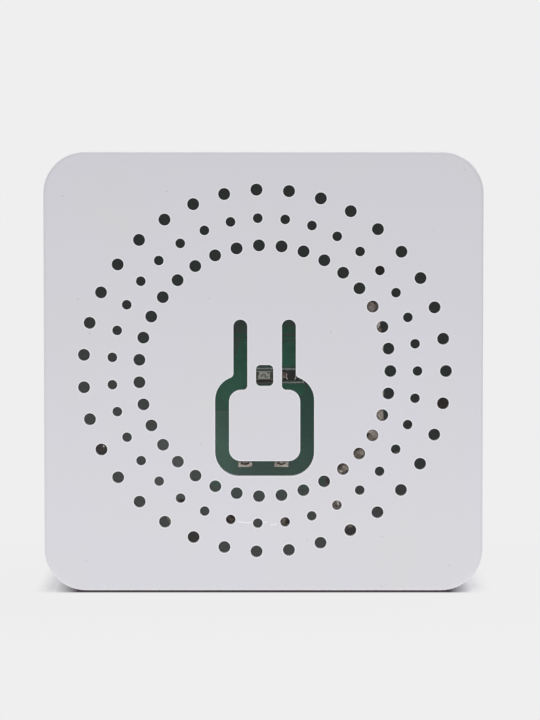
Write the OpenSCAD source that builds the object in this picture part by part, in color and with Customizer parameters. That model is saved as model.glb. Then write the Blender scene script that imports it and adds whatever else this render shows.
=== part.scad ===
// Smart relay module: a square flush-box switch with a vented front cover,
// a rising-clamp terminal block, a power relay and a top push button.
// Every piece is drawn with the case lying on its back, x across, y from the
// terminal side to the button side, z from the rear face to the front face,
// and stand() then sets it upright on the terminal side with the front facing -Y.

/* [Case] */
// Width of the case across the face
body_w = 39.2; // [36:0.2:44]
// Height of the case, terminal side to button side
body_h = 39.2; // [36:0.2:44]
// Depth of the case, rear face to front face
body_d = 18; // [16.4:0.2:22]
// Corner radius seen from the front
corner_r = 3.7; // [2.8:0.1:4.6]
// Rounding of the front and rear edges
edge_r = 0.4; // [0.2:0.1:0.7]
// Wall thickness of the cover's sides and of the shell
wall = 1.5; // [1.3:0.1:1.7]
// Thickness of the cover's face plate
face_t = 1; // [0.8:0.1:1.2]
// Depth of the front cover, face to parting line
cover_d = 4; // [3.6:0.1:4.6]
// Open seam between the cover and the shell
seam = 0.15; // [0.1:0.05:0.3]
// Thickness of the tongue on the shell's rim
tongue_t = 0.7; // [0.5:0.1:0.8]
// Height of the tongue on the shell's rim
tongue_l = 1.2; // [0.8:0.1:1.4]
// General clearance between moulded parts
fit = 0.1; // [0.05:0.05:0.15]

/* [Vents] */
// Rise of the vents' and the sign's centre above the middle of the face
face_rise = 0.1; // [0:0.05:0.3]
// Shift of the vents' and the sign's centre to the right of the middle of the face
face_shift = 0.1; // [0:0.05:0.2]
// Holes in each vent ring
vent_count = 35; // [24:1:40]
// Radius of the inner vent ring
ring_inner = 11.22; // [10.6:0.02:11.8]
// Radius of the middle vent ring
ring_middle = 13.64; // [13.2:0.02:14.2]
// Radius of the outer vent ring
ring_outer = 16.18; // [15.6:0.02:16.4]
// Hole diameter in the inner and outer rings
vent_d = 1.075; // [0.8:0.025:1.2]
// Hole diameter in the middle ring
vent_d_middle = 0.875; // [0.6:0.025:1]

/* [Plug sign slot] */
// Width of the slot that draws the sign
slot_w = 1.25; // [1:0.05:1.5]
// Width of the slot under the sign's middle
slot_low_w = 1.35; // [1:0.05:1.6]
// Width of the sign's body over the slot
sign_w = 8.85; // [8:0.05:9.6]
// Top of the sign's body above the vents' centre
sign_top = -0.45; // [-1:0.05:0]
// Bottom of the sign's body above the vents' centre
sign_bottom = -9.4; // [-9.6:0.1:-8]
// Outer corner radius of the sign's body
sign_r = 2.14; // [1.8:0.02:2.4]
// Distance between the centre lines of the two prongs
prong_span = 4.33; // [4:0.01:4.8]
// Top of the prongs above the vents' centre
prong_top = 4.6; // [3:0.05:6]
// Fillet between a prong and the sign's shoulder
shoulder_r = 0.4; // [0.2:0.05:0.5]
// Width of the indicator window
window_w = 1.55; // [1:0.05:1.8]
// Height of the indicator window
window_h = 1.9; // [1.4:0.1:2.2]
// Centre of the indicator window above the vents' centre
window_y = -0.4; // [-0.6:0.05:0]
// Corner radius of the indicator window
window_r = 0.4; // [0.2:0.05:0.5]
// Corner radius of the panel inside the slot
panel_r = 1.05; // [0.8:0.05:1.3]

/* [Cover snaps] */
// Width of a snap arm
snap_w = 5; // [3:0.5:6]
// Thickness of a snap arm
snap_t = 0.9; // [0.7:0.1:1]
// Reach of a snap arm behind the cover plate
snap_l = 7.5; // [6.5:0.1:8.5]
// Reach of the barb beyond the arm
barb = 0.5; // [0.4:0.05:0.6]
// Distance of the snap arms from the face's middle line
snap_y = 7; // [6:0.5:8]
// Diameter of the cover's hold-down posts
post_d = 2; // [1.6:0.1:2.4]

/* [Board] */
// Thickness of the main board
board_t = 1.2; // [1:0.1:1.6]
// Gap between the board and the cover plate
board_gap = 2.5; // [2.4:0.1:2.8]
// Air between the tallest parts on the board and the rear wall
rear_air = 1.2; // [0.8:0.1:1.6]
// Gap between the board's edge and the shell wall
board_clear = 0.3; // [0.2:0.05:0.4]
// Corner radius of the board
board_r = 2; // [1.5:0.1:2.5]
// Width of the ribs that carry the board
rib_w = 1.6; // [1.4:0.1:1.9]
// Length of the ribs along the wall
rib_l = 2.4; // [1.8:0.2:3]
// Distance of the ribs from the face's middle line
rib_y = 13; // [12.4:0.2:13.6]

/* [Terminals] */
// Number of terminals
poles = 6; // [3:1:6]
// Gap between the terminal block's end and the shell's side wall
block_side = 2.65; // [2.4:0.05:3.2]
// Thickness of the terminal block over the screw heads
lip_t = 0.8; // [0.6:0.1:1]
// Wall between two terminals and at the block's ends
block_wall = 0.9; // [0.8:0.05:1]
// Diameter of the terminal screw's shank
screw_d = 2.5; // [2.2:0.1:2.6]
// Diameter of the terminal screw's head
screw_head_d = 3.2; // [3:0.1:3.3]
// Height of the terminal screw's head
screw_head_h = 1.2; // [1:0.1:1.3]
// Radial clearance of the screw in its nut
screw_clear = 0.05; // [0.02:0.01:0.08]
// Diameter of the driver hole over each screw
driver_d = 2.8; // [2.4:0.1:3]
// Thinnest wire that a closed clamp still grips
wire_min = 0.7; // [0.5:0.1:1]
// Metal thickness of a clamp's sides
clamp_side = 0.6; // [0.5:0.05:0.7]
// Metal thickness of a clamp's sole and of the contact bar
clamp_t = 0.8; // [0.7:0.05:0.8]
// Width of a wire opening in the shell
wire_open_w = 3.4; // [3:0.1:3.8]
// Height of a wire opening in the shell
wire_open_h = 3.4; // [3:0.1:3.6]
// Corner radius of a wire opening
wire_open_r = 0.5; // [0.3:0.1:0.8]

/* [Relay] */
// Width of the relay
relay_w = 10.2; // [9.8:0.1:11]
// Length of the relay
relay_l = 18.2; // [16.4:0.1:20]
// Wall thickness of the relay case
relay_wall = 0.6; // [0.5:0.05:0.7]
// Place of the relay's middle line right of the face centre
relay_x = 9.5; // [9.3:0.1:10.2]
// Air gap between the armature and the pole
pole_gap = 0.55; // [0.5:0.05:0.6]

/* [Button] */
// Diameter of the button
button_d = 3.8; // [3:0.1:4.2]
// How far the button lies below the top face
button_recess = 0.15; // [0.05:0.05:0.3]
// Travel of the button
button_travel = 0.4; // [0.3:0.05:0.5]
// Height of the button's axis off the board
button_u = 3; // [2.8:0.1:3.4]

/* [Supply parts] */
// Diameter of the input capacitor
cap_in_d = 8; // [7:0.5:8.5]
// Diameter of the output capacitor
cap_out_d = 6.3; // [5:0.1:6.5]
// Height of the output capacitor
cap_out_h = 7.6; // [6:0.2:9]
// Diameter of the choke
choke_d = 6; // [5:0.1:6.2]
// Height of the choke
choke_h = 8; // [6:0.2:9.5]
// Diameter of the varistor disc
varistor_d = 7.2; // [6:0.1:7.6]
// Thickness of the varistor disc
varistor_t = 3.2; // [2.8:0.1:3.6]
// Length of the fusible resistor's body
fuse_l = 6.5; // [5:0.1:6.8]
// Diameter of the fusible resistor's body
fuse_d = 2.4; // [2:0.1:2.6]

/* [Hidden] */
$fn = 48;
eps = 0.01;

// Levels above the rear face
cover_in_z = body_d - face_t;
board_front_z = cover_in_z - board_gap;
board_back_z = board_front_z - board_t;
cover_rim_z = body_d - cover_d;
shell_rim_z = cover_rim_z - seam;
mid_y = body_h / 2;
face_y = mid_y + face_rise;
in_x = body_w / 2 - wall;
in_top = body_h - wall;
in_r = corner_r - wall;
board_w = 2 * (in_x - board_clear);
board_l = body_h - 2 * (wall + board_clear);
// Height that the tallest parts behind the board share
tall = board_back_z - wall - rear_air;

// Snap barb: its length along the arm, its slope under the catch and its lead-in
barb_l = 1.5;
barb_catch = 0.3;
barb_lead = 0.8;

// Terminal block, measured off the board's back with u and from the wire side with y
block_w = 2 * (in_x - block_side);
pole_pitch = (block_w - block_wall) / poles;
cell_w = pole_pitch - block_wall;
block_y = wall + fit;
block_front_t = 0.8;
block_back_t = 0.8;
clamp_w = cell_w - 2 * fit;
clamp_l = 3.4;
clamp_clear = 0.15;
tunnel_w = clamp_w - 2 * clamp_side;
bar_w = tunnel_w - 2 * fit;
pin_t = 0.7;
pin_w = 1.2;
cell_y = block_y + block_front_t;
clamp_y = cell_y + clamp_clear;
pin_y = clamp_y + clamp_l + 2 * clamp_clear;
cell_l = pin_y + pin_t + clamp_clear + fit - cell_y;
block_l = block_front_t + cell_l + block_back_t;
block_top_y = block_y + block_l;
screw_y = clamp_y + clamp_l / 2;
contact_y = pin_y + pin_t / 2;
block_h = tall;
sole_u = 0.4;
nut_t = 1.4;
// What the wire and the clamp's travel share, once the metal has its height
clamp_room = block_h - sole_u - 2 * clamp_t - nut_t - screw_head_h - lip_t - 3 * fit;
wire_room = (clamp_room + wire_min) / 2;
clamp_travel = wire_room - wire_min;
wire_u = sole_u + clamp_t;
bar_u = wire_u + wire_room;
bar_top_u = bar_u + clamp_t;
nut_u = bar_top_u + fit;
nut_top_u = nut_u + nut_t;
head_u = nut_top_u + clamp_travel + fit;
head_top_u = head_u + screw_head_h;
lip_u = head_top_u + fit;
driver_slot_w = 0.6;
driver_slot_d = 0.55;
collar_t = 0.6;
collar_d = screw_head_d + 2 * fit;
collar_top_z = board_back_z - block_h - fit;
function pole_x(i) = (i - (poles + 1) / 2) * pole_pitch;

// Relay, in its own frame: x from its middle line, y from its lower end, u off the board
relay_gap = 1.5;
relay_y = block_top_y + relay_gap;
relay_h = tall;
relay_in_h = relay_h - relay_wall;
relay_corner_r = 0.8;
relay_edge_r = 0.4;
relay_base_t = 1.2;
yoke_t = 1;
yoke_w = 6.2;
yoke_gap = 0.6;
yoke_y = relay_wall + yoke_gap;
yoke_u = relay_base_t + fit;
com_w = 1;
com_x = yoke_w / 2 - com_w / 2;
bobbin_side = 0.4;
bobbin_w = relay_w - 2 * (relay_wall + bobbin_side);
bobbin_l = 7.4;
bobbin_t = 0.6;
bobbin_u = yoke_u + yoke_t + fit;
coil_gap = 0.3;
coil_y = yoke_y + yoke_t + coil_gap + bobbin_l / 2;
coil_pin_inset = 0.3;
coil_pin_back = 1;
coil_pin_x = bobbin_w / 2 - coil_pin_inset;
coil_pin_y = coil_y + bobbin_l / 2 - coil_pin_back;
winding_inset = 0.2;
core_r = 1.6;
pole_r = 2.6;
pole_t = 0.5;
armature_t = 0.9;
armature_over = 1.2;
blade_t = 0.25;
blade_air = 0.4;
bobbin_h = relay_in_h - bobbin_u - pole_t - pole_gap - armature_t - blade_t - blade_air;
pole_top_u = bobbin_u + bobbin_h + pole_t;
armature_u = pole_top_u + pole_gap;
armature_l = coil_y + pole_r + armature_over - yoke_y;
// The armature rocks on the round top edge of the yoke, about that edge's own axis
knife_gap = 0.05;
yoke_top_u = armature_u - knife_gap;
hinge_y = yoke_y + yoke_t / 2;
hinge_u = yoke_top_u - yoke_t / 2;
fixed_leg_t = 0.8;
fixed_leg_gap = 1.4;
fixed_leg_y = relay_l - relay_wall - fixed_leg_gap - fixed_leg_t;
fixed_plate_t = 0.7;
fixed_plate_over = 0.4;
fixed_pin_w = 1.2;
blade_w = 3.6;
blade_start = 1;
rivet_r = 1.3;
rivet_t = 0.6;
rivet_back = 1;
blade_y = fixed_leg_y - rivet_back;
// Swing that closes the armature on the pole, less a hair of air
contact_air = 0.05;
close_angle = atan((pole_gap - contact_air) / (coil_y + pole_r - hinge_y));
moving_face_u = armature_u + armature_t - rivet_t;
fixed_face_u = moving_face_u - (blade_y + rivet_r - hinge_y) * tan(close_angle) - contact_air;

// Button stack on the top wall
button_z = board_back_z - button_u;
button_hole_r = button_d / 2 + fit;
button_round = 0.3;
flange_reach = 0.7;
flange_r = button_d / 2 + flange_reach;
flange_t = 0.6;
flange_top_y = in_top - fit;
plunger_gap = 0.05;
plunger_top_y = flange_top_y - flange_t - plunger_gap;
plunger_r = 1;
plunger_stand = 0.6;
plunger_out = button_travel + plunger_stand;
plunger_root = 0.6;
plunger_spare = 0.5;
plunger_bore = plunger_root + button_travel + plunger_spare;
tact_top_y = plunger_top_y - plunger_out;
tact_w = 6.2;
tact_l = 3.6;
tact_above = 2.4;
tact_h = button_u + tact_above;
tact_lead_x = 2.3;
tact_lead_y = tact_top_y - tact_l / 2;

// Radio board, standing on edge beside the tact switch
radio_t = 0.8;
radio_y = tact_top_y + fit + radio_t / 2;
radio_w = 12.7;
radio_side = 1.55;
radio_x = radio_side + radio_w / 2 - in_x;
radio_h = tall;
radio_tab_w = 9;
radio_pads = 6;
radio_pad_pitch = 1.5;
shield_w = 8.6;
shield_t = 1.8;
shield_u = 2;
antenna_h = 1.8;
shield_h = radio_h - shield_u - antenna_h;
shield_r = 0.5;
shield_edge_r = 0.25;

// Supply parts, stacked up from the terminal block, with one under the tact switch
fuse_gap = 1.6;
choke_gap = 0.2;
cap_in_gap = 2;
cap_out_gap = 1;
ic_rise = 4.8;
fuse_left = 9.65;
choke_left = 10.1;
varistor_left = 2.9;
cap_in_left = 10.35;
cap_out_left = 3;
ic_left = 7.2;
fuse_at = [-fuse_left, block_top_y + fuse_gap + fuse_d / 2];
choke_at = [-choke_left, fuse_at[1] + fuse_d / 2 + choke_gap + choke_d / 2];
varistor_at = [-varistor_left, choke_at[1]];
cap_in_at = [-cap_in_left, choke_at[1] + choke_d / 2 + cap_in_gap + cap_in_d / 2];
cap_out_at = [-cap_out_left, tact_top_y - tact_l - cap_out_gap - cap_out_d / 2];
cap_in_h = tall;
cap_in_pitch = 3.5;
cap_out_pitch = 2.5;
choke_pitch = 3;
varistor_pitch = 5;
fuse_lead_l = 1.4;
fuse_reach = fuse_l / 2 + fuse_lead_l;
fuse_lift = 0.3;
fuse_u = fuse_d / 2 + fuse_lift;
fuse_neck = 0.2;
lead_r = 0.3;
part_lift = 0.4;
choke_flange = 1;
choke_inset = 0.45;
choke_wind_t = 1.25;
choke_wind_d = choke_d - 2 * choke_inset;
choke_core_d = choke_wind_d - 2 * choke_wind_t;
varistor_r = varistor_d / 2;
// A straight varistor lead stops just under the rim of the disc
varistor_chord = varistor_pitch / 2 - lead_r;
varistor_lead_u = part_lift + varistor_r - sqrt(pow(varistor_r, 2) - pow(varistor_chord, 2)) - fit;

// Through-board pins as [x, y, hole radius, solder radius]
joint_large = 1.3;
joint_medium = 1;
joint_small = 0.7;
joint_pad = 0.55;
function pin_hole(w, t) = norm([w, t]) / 2 + fit;
function pair(at, pitch) = [for (s = [-1, 1]) [at[0] + s * pitch / 2, at[1], lead_r + fit, joint_small]];
terminal_pins = [for (i = [1:poles]) [pole_x(i), contact_y, pin_hole(pin_w, pin_t), joint_large]];
contact_pins = [
    [relay_x, relay_y + fixed_leg_y + fixed_leg_t / 2, pin_hole(fixed_pin_w, fixed_leg_t), joint_large],
    [relay_x + com_x, relay_y + hinge_y, pin_hole(com_w, yoke_t), joint_medium]];
coil_pins = pair([relay_x, relay_y + coil_pin_y], 2 * coil_pin_x);
supply_pins = concat(
    pair(cap_in_at, cap_in_pitch), pair(cap_out_at, cap_out_pitch), pair(choke_at, choke_pitch),
    pair(varistor_at, varistor_pitch), pair(fuse_at, 2 * fuse_reach));
tact_pins = pair([0, tact_lead_y], 2 * tact_lead_x);
radio_pins = [for (i = [1:radio_pads])
    [radio_x + (i - (radio_pads + 1) / 2) * radio_pad_pitch, radio_y, 0, joint_pad]];
test_pad_left = 14.5;
test_pad_drop = 6.9;
test_pads = [[-test_pad_left, mid_y - test_pad_drop, 0, joint_pad]];
drilled_pins = concat(terminal_pins, contact_pins, coil_pins, supply_pins, tact_pins);
soldered_pins = concat(drilled_pins, radio_pins, test_pads);
// Shape of a solder fillet as shares of its pad: tip radius, rim height and the clipped nib
joint_tip = 0.4;
joint_rim = 0.18;
joint_nib = 0.12;

// Chip sizes as [length, width, height, length of a tinned end]
chip_large = [2, 1.25, 0.5, 0.4];
chip_small = [1.6, 0.8, 0.45, 0.35];
// Chips on the board's front as [x, y, turn, size] about the vents' centre: two end under the
// slot's lower edge, one lies across the right prong beside the indicator
chip_show = 0.55;
chip_left = 1.76;
chip_right = 1.51;
chip_prong_shift = 0.22;
chip_low_y = sign_bottom + chip_show + chip_large[0] / 2;
chip_prong_x = prong_span / 2 + chip_prong_shift;
indicator_drop = 0.18;
indicator_y = window_y - indicator_drop;
chips = [
    [-chip_left, chip_low_y, 90, chip_large], [chip_right, chip_low_y, 90, chip_large],
    [chip_prong_x, indicator_y, 0, chip_small]];
led_l = 1.6;
led_w = 0.8;
led_h = 0.6;
led_pad_l = 0.2;
led_lens_inset = 0.03;

// Moulded packages on the board's front
package_draft = 0.12;
package_lift = 0.1;
ic_at = [-ic_left, choke_at[1] + ic_rise];
ic_size = [4.9, 3.9, 1.5];
ic_span = 6;
ic_pitch = 1.27;
ic_lead_w = 0.4;
ic_lead_t = 0.2;
ic_knee = 0.3;
bridge_right = 2.5;
bridge_rise = 7.5;
bridge_at = [bridge_right, mid_y + bridge_rise];
bridge_size = [3.2, 2.2, 1.3];
bridge_pitch = 1.6;
bridge_lead_w = 0.8;
bridge_lead_t = 0.25;
bridge_foot = 0.9;

// The heavy tinned track from the relay contact down to its terminal
track_t = 0.3;
track_pole = 5;
track_reach_left = 2.8;
track_reach_right = 1.1;
track_reach_top = 0.4;
track_left = relay_x - track_reach_left;
track_right = relay_x + track_reach_right;
track_top = relay_y + fixed_leg_y + fixed_leg_t + track_reach_top;
track_bend = 8;
track_foot = 3.6;
track_foot_left = 1.8;
track_foot_right = 0.4;

// Upright on the terminal side, front facing -Y, middle of the depth on the origin
module stand() {
    translate([0, body_d / 2, 0]) rotate([90, 0, 0]) children();
}

// Puts a part drawn with z off the board onto the board's back
module on_back(at = [0, 0]) {
    translate([at[0], at[1], board_back_z]) mirror([0, 0, 1]) children();
}

module rounded_rect(w, l, r) {
    square([w - 2 * r, l], center = true);
    square([w, l - 2 * r], center = true);
    for (x = [-1, 1], y = [-1, 1]) translate([x * (w / 2 - r), y * (l / 2 - r)]) circle(r);
}

// Section through the rim of a slab whose top edge is rounded: x outward, y up
module edge_section(reach, height, r) {
    square([reach - r, height]);
    square([reach, height - r]);
    translate([reach - r, height - r]) circle(r);
}

// Slab with rounded corners in plan and a rounded top edge, standing on z = 0
module soft_slab(w, l, r, height, top_r) {
    side_x = w / 2 - r;
    side_y = l / 2 - r;
    translate([-side_x, -side_y, 0]) cube([2 * side_x, 2 * side_y, height]);
    for (s = [0, 180]) rotate([0, 0, s]) {
        translate([side_x, side_y, 0]) rotate([90, 0, 0]) linear_extrude(2 * side_y)
            edge_section(r, height, top_r);
        translate([-side_x, side_y, 0]) rotate([90, 0, 90]) linear_extrude(2 * side_x)
            edge_section(r, height, top_r);
        translate([side_x, side_y, 0]) rotate_extrude(angle = 90) edge_section(r, height, top_r);
        translate([-side_x, side_y, 0]) rotate([0, 0, 90]) rotate_extrude(angle = 90)
            edge_section(r, height, top_r);
    }
}

module vent_ring(radius, d) {
    for (k = [0:vent_count - 1]) rotate([0, 0, k * 360 / vent_count]) translate([radius, 0]) circle(d = d);
}

// Outline of the plug sign's body and prongs, before the middle is put back
module sign_outline() {
    prong_x = prong_span / 2 + slot_w / 2;
    big = [sign_w / 2 - sign_r, sign_top - sign_r];
    reach = sign_r + shoulder_r;
    fillet_y = big[1] + sqrt(pow(reach, 2) - pow(prong_x + shoulder_r - big[0], 2));
    touch = [big[0] + (prong_x + shoulder_r - big[0]) * sign_r / reach,
             big[1] + (fillet_y - big[1]) * sign_r / reach];
    translate([0, (sign_top + sign_bottom) / 2]) rounded_rect(sign_w, sign_top - sign_bottom, sign_r);
    for (s = [0, 1]) mirror([s, 0]) {
        translate([prong_span / 2 - slot_w / 2, sign_top - sign_r])
            square([slot_w, prong_top - slot_w / 2 - sign_top + sign_r]);
        translate([prong_span / 2, prong_top - slot_w / 2]) circle(d = slot_w);
        difference() {
            translate([prong_x - eps, touch[1] - shoulder_r])
                square([touch[0] - prong_x + eps, fillet_y - touch[1] + shoulder_r]);
            translate([prong_x + shoulder_r, fillet_y]) circle(shoulder_r);
        }
    }
}

// The tongue of face left standing inside the sign, with its neck between the prongs
module sign_middle() {
    panel_w = sign_w - 2 * slot_w;
    panel_top = sign_top - slot_w;
    panel_bottom = sign_bottom + slot_low_w;
    neck = prong_span / 2 - slot_w / 2;
    translate([0, (panel_top + panel_bottom) / 2]) rounded_rect(panel_w, panel_top - panel_bottom, panel_r);
    translate([-neck, panel_top - panel_r]) square([2 * neck, prong_top - panel_top + panel_r]);
    for (s = [0, 1]) mirror([s, 0]) difference() {
        translate([neck - eps, panel_top - eps]) square(shoulder_r + eps);
        translate([neck + shoulder_r, panel_top + shoulder_r]) circle(shoulder_r);
    }
}

module face_openings() {
    vent_ring(ring_inner, vent_d);
    vent_ring(ring_middle, vent_d_middle);
    vent_ring(ring_outer, vent_d);
    difference() {
        sign_outline();
        sign_middle();
    }
    translate([0, window_y]) rounded_rect(window_w, window_h, window_r);
}

// One snap arm on the right-hand side, with its barb facing out
module snap_arm() {
    arm_x = in_x - fit - snap_t;
    tip_z = cover_in_z - snap_l;
    translate([0, snap_w / 2, 0]) rotate([90, 0, 0]) linear_extrude(snap_w) {
        translate([arm_x, tip_z]) square([snap_t, snap_l + eps]);
        translate([arm_x + snap_t, tip_z])
            polygon([[-eps, barb_l], [barb, barb_l - barb_catch], [barb, barb_lead], [-eps, 0]]);
    }
}

module at_snaps() {
    for (side = [0, 1], s = [-1, 1]) mirror([side, 0, 0]) translate([0, mid_y + s * snap_y, 0]) children();
}

module front_cover() {
    color("whitesmoke") {
        rebate = tongue_t + fit;
        rebate_l = tongue_l + fit;
        translate([0, mid_y, 0]) difference() {
            translate([0, 0, cover_rim_z]) soft_slab(body_w, body_h, corner_r, cover_d, edge_r);
            translate([0, 0, cover_rim_z - eps]) linear_extrude(cover_in_z - cover_rim_z + eps)
                rounded_rect(2 * in_x, body_h - 2 * wall, in_r);
            translate([0, 0, cover_rim_z - eps]) linear_extrude(rebate_l - seam + eps)
                rounded_rect(2 * (in_x + rebate), body_h - 2 * (wall - rebate), in_r + rebate);
            translate([face_shift, face_rise, cover_in_z - eps])
                linear_extrude(face_t + 2 * eps) face_openings();
        }
        at_snaps() snap_arm();
        for (x = [-1, 1], y = [-1, 1])
            translate([x * (board_w / 2 - rib_w), mid_y + y * rib_y, board_front_z + fit])
                cylinder(d = post_d, h = board_gap - fit + eps);
    }
}

// Rectangular wire openings through the terminal-side wall
module wire_openings() {
    for (i = [1:poles])
        translate([pole_x(i), wall + eps, board_back_z - wire_u - wire_room / 2]) rotate([90, 0, 0])
            linear_extrude(wall + 2 * eps) rounded_rect(wire_open_w, wire_open_h, wire_open_r);
}

module rear_shell() {
    color("whitesmoke") difference() {
        union() {
            translate([0, mid_y, 0]) difference() {
                union() {
                    translate([0, 0, shell_rim_z]) mirror([0, 0, 1])
                        soft_slab(body_w, body_h, corner_r, shell_rim_z, edge_r);
                    translate([0, 0, shell_rim_z - eps]) linear_extrude(tongue_l + eps)
                        rounded_rect(2 * (in_x + tongue_t), body_h - 2 * (wall - tongue_t), in_r + tongue_t);
                }
                translate([0, 0, wall]) linear_extrude(body_d)
                    rounded_rect(2 * in_x, body_h - 2 * wall, in_r);
            }
            for (x = [0, 1], y = [-1, 1]) mirror([x, 0, 0])
                translate([in_x - rib_w, mid_y + y * rib_y - rib_l / 2, wall - eps])
                    cube([rib_w + eps, rib_l, board_back_z - wall + eps]);
            for (i = [1:poles]) translate([pole_x(i), screw_y, wall - eps])
                cylinder(d = collar_d + 2 * collar_t, h = collar_top_z - wall + eps);
        }
        wire_openings();
        for (i = [1:poles]) translate([pole_x(i), screw_y, -eps])
            cylinder(d = collar_d, h = collar_top_z + 2 * eps);
        translate([0, body_h + eps, button_z]) rotate([90, 0, 0])
            cylinder(r = button_hole_r, h = wall + 2 * eps);
        at_snaps() translate([in_x - eps, -snap_w / 2 - fit, cover_in_z - snap_l - fit])
            cube([barb + eps, snap_w + 2 * fit, barb_l + 2 * fit]);
    }
}

module button_cap() {
    head_l = body_h - button_recess - flange_top_y + flange_t;
    round_x = button_d / 2 - button_round;
    color("whitesmoke") translate([0, flange_top_y - flange_t, button_z]) rotate([-90, 0, 0])
        rotate_extrude() {
            square([flange_r, flange_t]);
            square([button_d / 2, head_l - button_round]);
            square([round_x, head_l]);
            translate([round_x, head_l - button_round]) circle(button_round);
        }
}

module main_board() {
    color("darkgreen") difference() {
        translate([0, mid_y, board_back_z]) linear_extrude(board_t) rounded_rect(board_w, board_l, board_r);
        for (p = drilled_pins) translate([p[0], p[1], board_back_z - eps])
            cylinder(r = p[2], h = board_t + 2 * eps);
        translate([radio_x - radio_tab_w / 2 - fit, radio_y - radio_t / 2 - fit, board_back_z - eps])
            cube([radio_tab_w + 2 * fit, radio_t + 2 * fit, board_t + 2 * eps]);
        at_snaps() translate([in_x - 2 * fit - snap_t, -snap_w / 2 - 2 * fit, board_back_z - eps])
            cube([snap_t + 2 * fit, snap_w + 4 * fit, board_t + 2 * eps]);
    }
}

// Solder fillet round a clipped pin, standing on the board's front
module solder_joint(pad_r) {
    tip_r = pad_r * joint_tip;
    shoulder = pad_r * (1 + joint_rim - joint_tip);
    rotate_extrude() {
        difference() {
            square([pad_r, shoulder]);
            translate([pad_r, shoulder]) circle(pad_r - tip_r);
        }
        square([tip_r, shoulder + pad_r * joint_nib]);
    }
}

module tinned_track() {
    joint = terminal_pins[min(poles, track_pole) - 1];
    bend_y = joint[1] + track_bend;
    foot_y = joint[1] + track_foot;
    foot_left = joint[0] - track_foot_left;
    foot_right = joint[0] + track_foot_right;
    linear_extrude(track_t) polygon([
        [track_left, track_top], [track_right, track_top], [track_right, bend_y], [foot_right, foot_y],
        [foot_right, joint[1]], [foot_left, joint[1]], [foot_left, foot_y], [track_left, bend_y]]);
}

module solder_joints() {
    color("silver") translate([0, 0, board_front_z]) {
        for (p = soldered_pins) translate([p[0], p[1], 0]) solder_joint(p[3]);
        tinned_track();
    }
}

module at_chip(c) {
    translate([face_shift + c[0], face_y + c[1], board_front_z]) rotate([0, 0, c[2]]) children();
}

module indicator_led() {
    base_l = led_l - 2 * led_pad_l;
    base_h = led_h / 2;
    lens_l = base_l - 2 * led_lens_inset;
    lens_w = led_w - 2 * led_lens_inset;
    color("ivory") translate([face_shift, face_y + indicator_y, board_front_z]) {
        translate([-base_l / 2, -led_w / 2, 0]) cube([base_l, led_w, base_h]);
        translate([-lens_l / 2, -lens_w / 2, base_h - eps]) cube([lens_l, lens_w, led_h - base_h + eps]);
    }
}

module chip_parts() {
    color("black") for (c = chips) at_chip(c) {
        size = c[3];
        translate([-size[0] / 2 + size[3], -size[1] / 2, 0]) cube([size[0] - 2 * size[3], size[1], size[2]]);
    }
}

// Gull-wing lead leaving a package at y = 0, its foot flat on the board
module gull_lead(w, t, knee, foot, rise) {
    translate([-w / 2, 0, rise - t / 2]) cube([w, knee + t, t]);
    translate([-w / 2, knee, 0]) cube([w, t, rise]);
    translate([-w / 2, knee, 0]) cube([w, foot - knee, t]);
}

module chip_terminations() {
    color("lightgrey") {
        for (c = chips, s = [0, 1]) at_chip(c) mirror([s, 0, 0]) {
            size = c[3];
            translate([size[0] / 2 - size[3], -size[1] / 2, 0]) cube([size[3], size[1], size[2]]);
        }
        for (s = [0, 1]) translate([face_shift, face_y + indicator_y, board_front_z]) mirror([s, 0, 0])
            translate([led_l / 2 - led_pad_l, -led_w / 2, 0]) cube([led_pad_l, led_w, led_h / 2]);
        for (k = [-1.5:1.5], s = [0, 1]) translate([ic_at[0] + k * ic_pitch, ic_at[1], board_front_z])
            mirror([0, s, 0]) translate([0, ic_size[1] / 2, 0])
                gull_lead(ic_lead_w, ic_lead_t, ic_knee, (ic_span - ic_size[1]) / 2, ic_size[2] / 2);
        for (x = [-1, 1], s = [0, 1])
            translate([bridge_at[0] + x * bridge_pitch / 2, bridge_at[1], board_front_z])
            mirror([0, s, 0]) translate([0, bridge_size[1] / 2, 0])
                gull_lead(bridge_lead_w, bridge_lead_t, 0, bridge_foot, bridge_size[2] / 2);
    }
}

// Moulded chip package with drafted upper half
module chip_package(at, size) {
    half = size[2] / 2;
    translate([at[0] - size[0] / 2, at[1] - size[1] / 2, board_front_z]) {
        translate([0, 0, package_lift]) cube([size[0], size[1], half - package_lift]);
        translate([package_draft, package_draft, half - eps])
            cube([size[0] - 2 * package_draft, size[1] - 2 * package_draft, half + eps]);
    }
}

module converter_ic() {
    color("dimgray") chip_package(ic_at, ic_size);
}

module bridge_rectifier() {
    color("dimgray") chip_package(bridge_at, bridge_size);
}

module terminal_housing() {
    color("seagreen") on_back() difference() {
        translate([-block_w / 2, block_y, 0]) cube([block_w, block_l, block_h]);
        for (i = [1:poles]) translate([pole_x(i), 0, 0]) {
            translate([-cell_w / 2, cell_y, -eps]) cube([cell_w, cell_l, head_u + eps]);
            translate([-tunnel_w / 2, block_y - eps, wire_u])
                cube([tunnel_w, block_front_t + 2 * eps, wire_room]);
            translate([0, screw_y, head_u - eps]) cylinder(d = collar_d, h = lip_u - head_u + eps);
            translate([0, screw_y, head_u]) cylinder(d = driver_d, h = block_h);
        }
    }
}

module terminal_contacts() {
    color("silver") on_back() for (i = [1:poles]) translate([pole_x(i), 0, 0]) {
        translate([-bar_w / 2, clamp_y, bar_u]) cube([bar_w, pin_y + pin_t - clamp_y, clamp_t]);
        translate([-bar_w / 2, pin_y, fit]) cube([bar_w, pin_t, bar_u - fit + eps]);
        translate([-pin_w / 2, pin_y, -board_t]) cube([pin_w, pin_t, board_t + fit + eps]);
    }
}

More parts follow.
